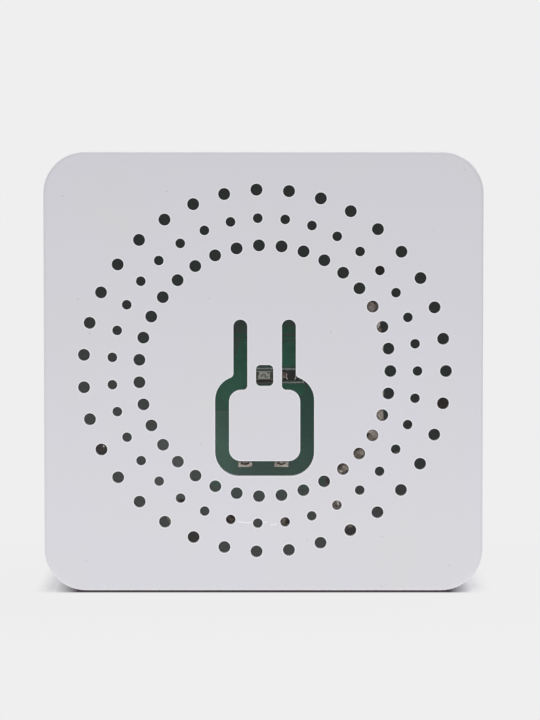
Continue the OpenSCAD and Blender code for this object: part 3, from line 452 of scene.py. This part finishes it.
COPPER_T = 0.035 * MM
copper_mask = solder_mask("solder_mask_on_copper", "#2E7B5E", "#388E6E", gloss=0.08, coat=0.0)
ground_mask = solder_mask("solder_mask_on_ground_copper", "#3E846B", "#499379", gloss=0.08,
                          coat=0.3, right="#237059")
# Painted sheen: a greyer, lighter mask on a thin patch at the lower left.
sheen_patch_mask = solder_mask("solder_mask_with_painted_sheen", "#587668", "#628275", gloss=0.09,
                         coat=1.0)
left_pour = [(-0.9, 2.8), (-2.15, 2.8), (-2.5, 1.45), (-2.95, 0.7), (-4.7, -1.0), (-4.7, -3.7),
             (-0.9, -3.7)]
right_pour = [(1.2, 2.5), (1.2, 0.25), (3.1, 0.25), (3.1, 2.1), (2.8, 2.4), (2.4, 2.5)]
lamp_pour = [(1.2, -1.36), (3.72, -1.36), (3.68, -2.0), (3.3, -2.55), (1.2, -2.55)]
ground_pour = [(-5.3, -3.8), (-5.3, -10.6), (5.3, -10.6), (5.3, -1.4), (3.82, -1.4),
               (3.78, -2.05), (3.35, -2.65), (1.2, -2.65), (1.2, -3.8)]
sheen_patch = [(-10.1, -6.1), (-8.5, -6.1), (-6.6, -8.4), (-6.6, -11.9), (-8.6, -11.9),
              (-10.1, -10.4)]
board_layer("copper_under_mask",
            [left_pour, right_pour, lamp_pour, bar(-3.2, -1.2, 2.9, 3.15),
             bar(1.2, 3.1, 3.25, 3.85), bar(1.2, 3.1, 2.7, 2.95)],
            COPPER_T, copper_mask)
board_layer("ground_copper_under_mask", [ground_pour], COPPER_T, ground_mask)
board_layer("painted_sheen_patch", [sheen_patch], COPPER_T, sheen_patch_mask)


# Board print: white epoxy ink screened on the mask, a box round the indicator and its
# resistor. It is thin, matt and a little uneven.
INK_THIN = "#B4C4BA"
INK_THICK = "#F2F5F1"
INK_GRAIN = 0.12 * MM
INK_SPAN = (0.3, 0.6)
ink, tree = empty_material("screened_white_ink")
place = add(tree, "TexCoord").outputs["Object"]
screen = add(tree, "TexNoise", Vector=place, Scale=1 / INK_GRAIN, Detail=2.0)
cover = add(tree, "MapRange", Value=screen.outputs[0], From_Min=INK_SPAN[0], From_Max=INK_SPAN[1])
tone = add(tree, "Mix", COLOURS, i0=cover.outputs[0], i6=srgb(INK_THIN), i7=srgb(INK_THICK))
shader = add(tree, "BsdfPrincipled", Base_Color=tone.outputs[2], Roughness=0.6)
add(tree, "OutputMaterial", Surface=shader.outputs[0])
PRINT_T = 0.055 * MM
PRINT_W = 0.13
PRINT_HALF = PRINT_W / 2
PRINT_LEFT = -1.3
PRINT_RIGHT = 3.54
PRINT_TOP = -0.02
PRINT_LOW = -1.23
LAMP_LINE = 0.02
print_corner = [(PRINT_LEFT, PRINT_LOW - PRINT_HALF), (PRINT_RIGHT, PRINT_LOW - PRINT_HALF),
                (PRINT_RIGHT, PRINT_LOW + 2 * PRINT_W),
                (PRINT_RIGHT - PRINT_W, PRINT_LOW + 2 * PRINT_W),
                (PRINT_RIGHT - PRINT_W, PRINT_LOW + PRINT_HALF),
                (PRINT_LEFT, PRINT_LOW + PRINT_HALF)]
board_layer("board_print",
            [bar(PRINT_LEFT, 1.1, LAMP_LINE - PRINT_HALF, LAMP_LINE + PRINT_HALF),
             bar(1.2, 3.2, PRINT_TOP - PRINT_HALF, PRINT_TOP + PRINT_HALF), print_corner],
            PRINT_T, ink)


# Solder joints and the heavy tinned track: tin solder, hand loaded on the relay's track.
# Satin and dull grey, with brown flux left in the hollows. The joints on the right and the
# track were wiped, so less of it is left there.
WIPED_FROM = 3.0 * MM
WIPED_TO = 5.0 * MM
FLUX_KEPT = 0.1
FLUX_COARSER = 0.35
FLUX_SPAN = (0.5, 0.68)
TIN_SPAN = (0.35, 0.62)
TIN_RELIEF = 0.04
TIN_CLEAN = 0.75
TIN_STAINED = 0.35
SHEEN_LESS = 0.08
SHEEN_MORE = 0.12


def grained(tree, place, ripple, height, on_board):
    """Normal with a fine relief, on the board's dished front or on the piece's own shape."""
    if on_board:
        return dished(tree, place, ripple, height)
    return add(tree, "Bump", Strength=1.0, Distance=height, Height=ripple).outputs[0]


def tinned(name, bright, dull, flux, grain, rough, on_board=True, wiped=False):
    """Tin that has melted and set: a soft metal sheen broken by its grain and by flux."""
    made, tree = empty_material(name)
    place = add(tree, "TexCoord").outputs["Object"]
    grains = add(tree, "TexNoise", Vector=place, Scale=1 / grain, Detail=5.0, Roughness=0.6)
    tone = add(tree, "MapRange", Value=grains.outputs[0], From_Min=TIN_SPAN[0],
               From_Max=TIN_SPAN[1])
    metal = add(tree, "Mix", COLOURS, i0=tone.outputs[0], i6=srgb(dull), i7=srgb(bright))
    pools = add(tree, "TexNoise", Vector=place, Scale=FLUX_COARSER / grain, Detail=2.0)
    held = pools.outputs[0]
    if wiped:
        across = add(tree, "SeparateXYZ", Vector=place)
        extra = add(tree, "MapRange", Value=across.outputs["X"], From_Min=WIPED_FROM,
                    From_Max=WIPED_TO, To_Min=FLUX_KEPT, To_Max=0.0)
        held = add(tree, "Math", {"operation": "ADD"}, i0=held, i1=extra.outputs[0]).outputs[0]
    stain = add(tree, "MapRange", Value=held, From_Min=FLUX_SPAN[0], From_Max=FLUX_SPAN[1])
    metal = add(tree, "Mix", COLOURS, i0=stain.outputs[0], i6=metal.outputs[2], i7=srgb(flux))
    clean = add(tree, "MapRange", Value=stain.outputs[0], To_Min=TIN_CLEAN, To_Max=TIN_STAINED)
    sheen = add(tree, "MapRange", Value=grains.outputs[0], To_Min=rough - SHEEN_LESS,
                To_Max=rough + SHEEN_MORE)
    normal = grained(tree, place, grains.outputs[0], TIN_RELIEF * grain, on_board)
    shader = add(tree, "BsdfPrincipled", Base_Color=metal.outputs[2], Metallic=clean.outputs[0],
                 Roughness=sheen.outputs[0], Normal=normal)
    add(tree, "OutputMaterial", Surface=shader.outputs[0])
    return made


solder = tinned("reflowed_tin_solder", "#C6BAB2", "#9E9188", "#66554B", grain=0.35 * MM,
                rough=0.24, wiped=True)
dress(solder, "solder_joints")


# Chip resistors: an alumina body with a black glaze on top and tinned ends, soldered flat
# to the board. On the two upright ones the glaze stops short of the ends, over a dried flux
# line; on the flat one it laps both ends as a painted dark reflection of their tin, with
# solder marks on it and a solder lap at one end.
MOTTLE_SPAN = (0.32, 0.68)
MOTTLE_SHEEN = 0.08


def mottled(name, dark, light, grain, rough, relief=0.0, on_board=False, **shader_inputs):
    """A finish whose tone, roughness and fine relief follow one noise of the given grain."""
    made, tree = empty_material(name)
    place = add(tree, "TexCoord").outputs["Object"]
    noise = add(tree, "TexNoise", Vector=place, Scale=1 / grain, Detail=4.0)
    tone = add(tree, "MapRange", Value=noise.outputs[0], From_Min=MOTTLE_SPAN[0],
               From_Max=MOTTLE_SPAN[1])
    colour = add(tree, "Mix", COLOURS, i0=tone.outputs[0], i6=srgb(dark), i7=srgb(light))
    sheen = add(tree, "MapRange", Value=noise.outputs[0], To_Min=rough - MOTTLE_SHEEN,
                To_Max=rough + MOTTLE_SHEEN)
    normal = grained(tree, place, noise.outputs[0], relief, on_board)
    shader = add(tree, "BsdfPrincipled", Base_Color=colour.outputs[2],
                 Roughness=sheen.outputs[0], Normal=normal, **shader_inputs)
    add(tree, "OutputMaterial", Surface=shader.outputs[0])
    return made


def solids_of(name):
    """Boxes of the separate solids in a CAD node, from left to right."""
    shape = bmesh.new()
    shape.from_mesh(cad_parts[name].data)
    bmesh.ops.remove_doubles(shape, verts=shape.verts, dist=WELD)
    waiting = set(shape.verts)
    boxes = []
    while waiting:
        group = [waiting.pop()]
        for point in group:
            for edge in point.link_edges:
                other = edge.other_vert(point)
                if other in waiting:
                    waiting.remove(other)
                    group.append(other)
        boxes.append(tuple(Vector(pick(v.co[i] for v in group) for i in range(3))
                           for pick in (min, max)))
    shape.free()
    return sorted(boxes, key=lambda box: box[0].x)


# Fired alumina is a dense off-white, the glaze a hard dark grey, the ends bright plated tin
# and the dried flux a dull brown.
alumina = mottled("fired_alumina", "#C9C6BE", "#DAD7D0", grain=0.2 * MM, rough=0.5)
glaze = mottled("dark_resistor_glaze", "#2A282B", "#3B3839", grain=0.15 * MM, rough=0.3,
                relief=0.004 * MM)
plated = tinned("plated_tin_ends", "#E8E2D8", "#CBC1B4", "#A08F80", grain=0.22 * MM, rough=0.24)
flux = mottled("dried_brown_flux_and_painted_shadow", "#4F4038", "#74635A", grain=0.1 * MM, rough=0.35,
               relief=0.004 * MM, on_board=True)
dress(alumina, "chip_parts")
dress(plated, "chip_terminations")
soften("chip_terminations", 0.04 * MM)
GLAZE_T = 0.06 * MM
GLAZE_INSET = 0.1 * MM
GLAZE_PROFILE = [(1, 0), (1, 0.6), (0.94, 0.9), (0.84, 1)]
UPRIGHT_LAP = -0.12 * MM
# Painted reflection: on the flat chip the dark glaze runs over the tinned ends, for the dark
# surroundings their tin reflects.
FLAT_LAP = 0.3 * MM
chips = solids_of("chip_parts")
*upright_chips, flat_chip = chips
glaze_shape = bmesh.new()
for low, high in chips:
    lap = (FLAT_LAP, 0, 0) if (low, high) == flat_chip else (-GLAZE_INSET, 0, UPRIGHT_LAP)
    mid = (low + high) / 2
    half = (high - low) / 2 + Vector(lap)
    rings = []
    for share, rise in GLAZE_PROFILE:
        edge = half * share
        rings.append([(mid.x + sx * edge.x, low.y - GLAZE_T * rise, mid.z + sz * edge.z)
                      for sx, sz in CORNERS])
    loft(glaze_shape, rings)
hang("chip_glaze", glaze_shape, glaze, "module")

BEAD_SIDES = 8
CURVE = [k / 8 for k in range(9)]
BRACKET_R = 0.045 * MM
BRACKET_X = 0.42 * MM
BRACKET_TOP = 0.19 * MM
BRACKET_LOW = 0.31 * MM
BRACKET_TURN = 0.12 * MM
LAP_R = 0.2 * MM
LAP_X = 0.69 * MM
LAP_ZS = (0.3, 0.05, -0.22)
LAP_FLAT = 0.3
LAP_TAPER = 0.2
FLUX_R = 0.08 * MM
FLUX_HALF = 0.36 * MM
FLUX_SAG = 0.15 * MM


def bead(shape, path, radius, flat=1.0, taper=0.0):
    """Sweeps a bead along points in a plane across the view, flattened and thinner at its ends."""
    inward = Vector((0, 1, 0))
    turns = [2 * math.pi * k / BEAD_SIDES for k in range(BEAD_SIDES)]
    last = len(path) - 1
    rings = []
    for i, point in enumerate(path):
        size = radius * (1 - taper * (2 * i / last - 1) ** 2)
        along = (path[min(i + 1, last)] - path[max(i - 1, 0)]).normalized()
        across = along.cross(inward)
        rings.append([point + size * (math.cos(t) * across + flat * math.sin(t) * inward)
                      for t in turns])
    loft(shape, rings, smooth=True)


beads = bmesh.new()
flat_mid = (flat_chip[0] + flat_chip[1]) / 2
flat_mid.y = flat_chip[0].y - GLAZE_T
for side in (-1, 1):
    path = [flat_mid + Vector((side * BRACKET_X, 0, BRACKET_TOP))]
    for t in CURVE:
        turn = math.pi / 2 * t
        across = BRACKET_X - BRACKET_TURN * (1 - math.cos(turn))
        up = BRACKET_TURN * (1 - math.sin(turn)) - BRACKET_LOW
        path.append(flat_mid + Vector((side * across, 0, up)))
    bead(beads, path, BRACKET_R)
hang("chip_beads", beads, plated, "module")
solder_lap = bmesh.new()
path = [flat_mid + Vector((-LAP_X, 0, z * MM)) for z in LAP_ZS]
bead(solder_lap, path, LAP_R, LAP_FLAT, LAP_TAPER)
hang("chip_lap", solder_lap, solder, "module")
flux_lines = bmesh.new()
for low, high in upright_chips:
    mid_x = (low.x + high.x) / 2
    path = [Vector((mid_x + FLUX_HALF * (2 * t - 1), low.y,
                    low.z - FLUX_SAG * math.sin(math.pi * t))) for t in CURVE]
    bead(flux_lines, path, FLUX_R)
hang("chip_flux", flux_lines, flux, "module")


# Hand soldering: runs of tin lapped over the heavy track's edge and wiped while hot, so paler
# and cleaner than the joints, a blob and bright spikes where the iron lifted off, and pools of
# burnt flux beside the joints. A coat of the same brown over one steep joint paints the dark
# reflection its cone shows. All of it has set hard on the board.
run_tin = tinned("wiped_tin_run", "#EEE3D6", "#CBBCAD", "#9A8778", grain=0.35 * MM, rough=0.22)
spike_tin = tinned("bright_tin_spikes", "#F6F1EA", "#E6DED4", "#CFC2B4", grain=0.3 * MM,
                   rough=0.09)
burnt_flux_and_shade = mottled("burnt_flux_and_painted_shade", "#7A5E55", "#94786E", grain=0.2 * MM, rough=0.14,
                     relief=0.0005 * MM, on_board=True, IOR=RESIN_IOR)
RUN_R = 0.58 * MM
RUN_RISE = 0.2 * MM
RUN_FLAT = 0.36
RUN_TAPER = 0.4
RUN_PATHS = [[(10.2, -2.3), (10.2, -3.5), (10.2, -4.8), (9.8, -6.2), (8.9, -7.5), (8.0, -8.4),
              (7.1, -9.0)],
             [(10.18, 2.9), (10.26, 1.8), (10.14, 0.2), (10.2, -1.4), (10.27, -2.25),
              (10.2, -3.1)]]
BLOB_R = 0.3 * MM
BLOB_PATH = [(10.06, 4.75), (10.17, 4.35), (10.16, 3.95), (10.06, 3.6)]
SPIKE_R = 0.1 * MM
SPIKE_TAPER = 0.5
# Each spike's height over the board in mm, and its path.
SPIKES = [(0.3, [(6.58, -11.65), (6.6, -11.95), (6.67, -12.35)]),
          (0.4, [(8.95, -5.74), (9.3, -5.68), (9.75, -5.64)]),
          (0.34, [(6.66, -9.16), (6.88, -9.26), (7.08, -9.2)]),
          (0.6, [(-14.6, -6.95), (-14.5, -6.96), (-14.42, -6.98)]),
          (0.25, [(7.2, -14.1), (7.21, -14.3), (7.22, -14.45)])]
POOL_R = 0.7 * MM
POOL_FLAT = 0.12
POOL_TAPER = 0.8
POOL_SPREAD = [0.75 * (2 * t - 1) for t in CURVE]
POOLS = [(10.39, 8.87), (-6.43, -15.25), (7.95, -14.95), (16.1, -3.12)]
# Painted reflection: a dark coat of flux over the steep joint at the left, where its cone reflects
# the dark.
SHADE_COAT_AT = (-14.72, -7.25)
SHADE_COAT_RISE = 0.32 * MM
SHADE_COAT_FLAT = 0.36

run = bmesh.new()
for path in RUN_PATHS:
    bead(run, laid(path, RUN_RISE), RUN_R, RUN_FLAT, RUN_TAPER)
hang("track_run", run, run_tin, "module")
spikes = bmesh.new()
bead(spikes, laid(BLOB_PATH, RUN_RISE), BLOB_R, taper=SPIKE_TAPER)
for rise, path in SPIKES:
    bead(spikes, laid(path, rise * MM), SPIKE_R, taper=SPIKE_TAPER)
hang("solder_spikes", spikes, spike_tin, "module")
burnt = bmesh.new()
flux_and_shade_spots = [(spot, 0, POOL_FLAT) for spot in POOLS] + [(SHADE_COAT_AT, SHADE_COAT_RISE, SHADE_COAT_FLAT)]
for (x, z), rise, flat in flux_and_shade_spots:
    path = [(x + dx, z) for dx in POOL_SPREAD]
    bead(burnt, laid(path, rise), POOL_R, flat, POOL_TAPER)
hang("board_flux_and_shade", burnt, burnt_flux_and_shade, "module")


# Indicator: a small surface-mount lamp on a white base, moulded over with milky epoxy. Its
# die, bond wire and lead show through as dark marks on the face of the lens, with dark lines
# of the same tone along its ends and lower edge. Flux has run round its soldered ends, and a
# dark line of it under the lamp's lower edge paints the lamp's shadow.
lens = mottled("milky_lens_epoxy", "#F4EEDF", "#FBF8EE", grain=0.15 * MM, rough=0.16,
               relief=0.012 * MM, on_board=True, IOR=1.6)
dress(lens, "indicator_led")
soften("indicator_led", 0.05 * MM)
WIRE_R = 0.045 * MM
WIRE_PATH = [(-0.28, -0.04), (-0.16, 0.1), (-0.02, 0.12), (0.06, 0.02), (0.02, -0.1),
             (0.14, -0.16), (0.28, -0.1)]
# Dark lines along the lens's two ends and its lower edge.
END_PATHS = [[(0.52, 0.34), (0.52, 0.0), (0.52, -0.34)],
             [(-0.54, 0.34), (-0.54, 0.2), (-0.54, 0.05)],
             [(-0.56, -0.36), (0.0, -0.355), (0.56, -0.36)]]
DIE_R = 0.07 * MM
DIE_PATH = [(-0.33, -0.05), (-0.28, -0.04), (-0.22, -0.05)]
LEAD_PATH = [(0.31, 0.33), (0.31, 0.29), (0.32, 0.18)]
LAMP_FLUX_AND_SHADOW_R = 0.1 * MM
LAMP_FLUX_AND_SHADOW_DEPTH = 0.25 * MM
# Painted shadow: the last line, under the lamp's lower edge, is dark flux standing in for the
# lamp's shadow.
LAMP_FLUX_AND_SHADOW = [[(-0.7, 0.34), (-0.7, -0.34)], [(0.68, 0.34), (0.68, -0.34)],
             [(-0.75, -0.56), (0.75, -0.56)]]
led_low, led_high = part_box("indicator_led")
led_mid = (led_low + led_high) / 2


def on_lamp(path, y):
    """Points at one depth, from mm about the lamp's middle."""
    return [Vector((led_mid.x + x * MM, y, led_mid.z + z * MM)) for x, z in path]


die_tone = mottled("die_under_epoxy", "#4E493E", "#665F52", grain=0.1 * MM, rough=0.4)
marks = [(WIRE_PATH, WIRE_R), (LEAD_PATH, DIE_R), (DIE_PATH, DIE_R)]
marks += [(path, WIRE_R) for path in END_PATHS]
die = bmesh.new()
for path, radius in marks:
    bead(die, on_lamp(path, led_low.y + radius / 2), radius)
hang("indicator_die", die, die_tone, "module")
lamp_flux_and_shadow = bmesh.new()
for path in LAMP_FLUX_AND_SHADOW:
    bead(lamp_flux_and_shadow, on_lamp(path, led_high.y - LAMP_FLUX_AND_SHADOW_DEPTH), LAMP_FLUX_AND_SHADOW_R)
hang("indicator_flux_and_shadow", lamp_flux_and_shadow, flux, "module")


# Converter chip and bridge rectifier: black filled epoxy moulded round their lead frames,
# matt from the filler.
package_epoxy = mottled("moulded_package_epoxy", "#1B1B1C", "#262627", grain=0.12 * MM,
                        rough=0.55, relief=0.006 * MM)
dress(package_epoxy, "converter_ic", "bridge_rectifier")


# Terminal block: a green polyamide moulding that holds six box clamps. Glass filled, so the
# skin is satin with a faint flow pattern.
polyamide = mottled("moulded_green_polyamide", "#1D6B41", "#24794B", grain=0.6 * MM, rough=0.45,
                    relief=0.004 * MM)
dress(polyamide, "terminal_housing")
soften("terminal_housing", 0.06 * MM)


# Contact bars of the block and leads of the supply parts: copper strip and wire, tinned before
# forming, pressed into the block or passed through the board. A soft grey metal sheen.
tinned_copper = tinned("tinned_copper_strip", "#C9C5BE", "#A8A29A", "#7A6A58", grain=0.5 * MM,
                       rough=0.3, on_board=False)
dress(tinned_copper, "terminal_contacts", "component_leads")


# Clamps and screws: machined brass boxes and zinc-plated steel screws. The brass shows its
# saw marks, the zinc a bright bluish bloom.
POLES = range(1, 7)
brass = mottled("sawn_brass", "#A8874A", "#C4A35E", grain=0.25 * MM, rough=0.35,
                relief=0.006 * MM, Metallic=1.0)
zinc = mottled("zinc_plated_steel", "#A9AEB2", "#C8CCCE", grain=0.3 * MM, rough=0.32,
               relief=0.004 * MM, Metallic=1.0)
dress(brass, *(f"terminal_clamp_{i}" for i in POLES))
dress(zinc, *(f"terminal_screw_{i}" for i in POLES))
for i in POLES:
    soften(f"terminal_clamp_{i}", 0.06 * MM)
    soften(f"terminal_screw_{i}", 0.05 * MM)


# Relay: a polyester base and cover round an iron magnet, its coil, and a bronze contact
# spring that the armature carries. The mouldings are satin, the iron is nickel plated and
# softly bright, and the bronze shows its rolling.
relay_pbt = mottled("moulded_black_polyester", "#161617", "#202022", grain=0.4 * MM, rough=0.4,
                    relief=0.003 * MM)
relay_cover = mottled("moulded_satin_polyester", "#18181A", "#222225", grain=0.6 * MM,
                      rough=0.35, relief=0.003 * MM)
plated_iron = mottled("nickel_plated_iron", "#8D8C86", "#A8A7A0", grain=0.4 * MM, rough=0.3,
                      relief=0.004 * MM, Metallic=1.0)
bobbin_pbt = mottled("moulded_ivory_polyester", "#CFC8B2", "#DAD4C0", grain=0.5 * MM, rough=0.45,
                     relief=0.003 * MM)
bronze = mottled("rolled_bronze_strip", "#A87B45", "#BE9158", grain=0.3 * MM, rough=0.32,
                 relief=0.003 * MM, Metallic=1.0)
dress(relay_pbt, "relay_base")
dress(relay_cover, "relay_case")
dress(plated_iron, "relay_yoke", "relay_core", "relay_armature")
dress(bobbin_pbt, "relay_bobbin")
dress(bronze, "relay_moving_contact", "relay_fixed_contact")


# Windings of the relay and the choke: enamelled copper wire laid turn on turn, drawn as fine
# rings, with shade painted in the hollows between turns and a highlight painted on the crowns.
WIRE_D = 0.12 * MM
WIRE_HOLLOW_SHADE = "#5A2A12"
WIRE_CROWN_HIGHLIGHT = "#B5652F"
enamel, tree = empty_material("enamelled_copper_wire")
place = add(tree, "TexCoord").outputs["Object"]
turns = add(tree, "TexWave", {"bands_direction": "Y"}, Vector=place, Scale=BAND_PERIOD / WIRE_D)
# Painted shade and highlight: the colour follows the bands of the relief, dark in the hollows and
# bright on the crowns.
tone = add(tree, "Mix", COLOURS, i0=turns.outputs[1], i6=srgb(WIRE_HOLLOW_SHADE), i7=srgb(WIRE_CROWN_HIGHLIGHT))
relief = add(tree, "Bump", Strength=1.0, Distance=WIRE_D / 4, Height=turns.outputs[1])
shader = add(tree, "BsdfPrincipled", Base_Color=tone.outputs[2], Metallic=1.0, Roughness=0.28,
             Normal=relief.outputs[0])
add(tree, "OutputMaterial", Surface=shader.outputs[0])
dress(enamel, "relay_winding", "choke_winding")


# Supply parts: sleeved electrolytic cans, a ferrite choke core, a dipped varistor and a
# lacquered fusible resistor, all on leads through the board. The sleeve and the dip are
# glossy, the lacquer is satin and the ferrite matt.
sleeve = mottled("shrunk_polyester_sleeve", "#161B33", "#1F2642", grain=1.5 * MM, rough=0.3,
                 relief=0.01 * MM)
ferrite = mottled("sintered_ferrite", "#2A2A2C", "#3A3A3D", grain=0.2 * MM, rough=0.6,
                  relief=0.008 * MM)
dipped = mottled("dipped_blue_epoxy", "#1F4E8C", "#2A5E9E", grain=0.8 * MM, rough=0.3,
                 relief=0.02 * MM)
lacquer = mottled("grey_resistor_lacquer", "#6C7263", "#7E8474", grain=0.3 * MM, rough=0.4,
                  relief=0.008 * MM)
dress(sleeve, "input_capacitor", "output_capacitor")
dress(ferrite, "choke_core")
dress(dipped, "varistor")
dress(lacquer, "fusible_resistor")


# Radio: a thin board on edge with a stamped nickel-silver can over its chip. Its mask is dark
# and glossy, the can softly bright from the press.
radio_mask = mottled("dark_radio_mask", "#16263A", "#1D3046", grain=MASK_MOTTLE, rough=0.2,
                     relief=0.002 * MM, IOR=RESIN_IOR)
can_metal = mottled("stamped_nickel_silver", "#A9A59C", "#BDB9B0", grain=0.6 * MM, rough=0.3,
                    relief=0.004 * MM, Metallic=1.0)
dress(radio_mask, "wifi_board")
dress(can_metal, "wifi_shield")


# Tact switch: a black moulded body with a dark plunger that the button pushes. Both are
# small satin mouldings.
switch_body = mottled("moulded_switch_body", "#1A1A1B", "#242425", grain=0.3 * MM, rough=0.45,
                      relief=0.003 * MM)
plunger = mottled("moulded_switch_plunger", "#2B2B2D", "#38383A", grain=0.3 * MM, rough=0.4,
                  relief=0.003 * MM)
dress(switch_body, "tact_switch")
dress(plunger, "tact_plunger")


# Push button: a small ABS cap in the top wall, moulded apart from the case, so its white is
# a touch different.
# Its palest colour is the highlight painted on its edges.
button_abs = moulded_abs("moulded_button_abs", "#D6D5DA", "#D7D6D7", "#F5F4F6")
dress(button_abs, "button_cap")


# Front cover: the vented plate, one ABS moulding snapped onto the shell. Its hole rims are
# left crisp, as a mould that shuts off flat on the face makes them, with a highlight painted
# round them, and handling has left a short pale scuff among the lower vents.
SCUFFS = [(-2.40, -13.46, -1.81, -13.57), (-1.81, -13.57, -1.21, -13.57),
          (-0.10, -13.55, 0.29, -13.53), (0.52, -13.81, 1.07, -13.68)]
face_at = Vector((vent_mid.x, face_mid.y, vent_mid.z))
scuff_lines = [(face_at + Vector((x0, 0, z0)) * MM, face_at + Vector((x1, 0, z1)) * MM)
               for x0, z0, x1, z1 in SCUFFS]
cover_abs = moulded_abs("moulded_cover_abs", ABS_WHITE, ABS_CLOUD, ABS_HIGHLIGHT_AND_SCUFF, scuff_lines)
dress(cover_abs, "front_cover")
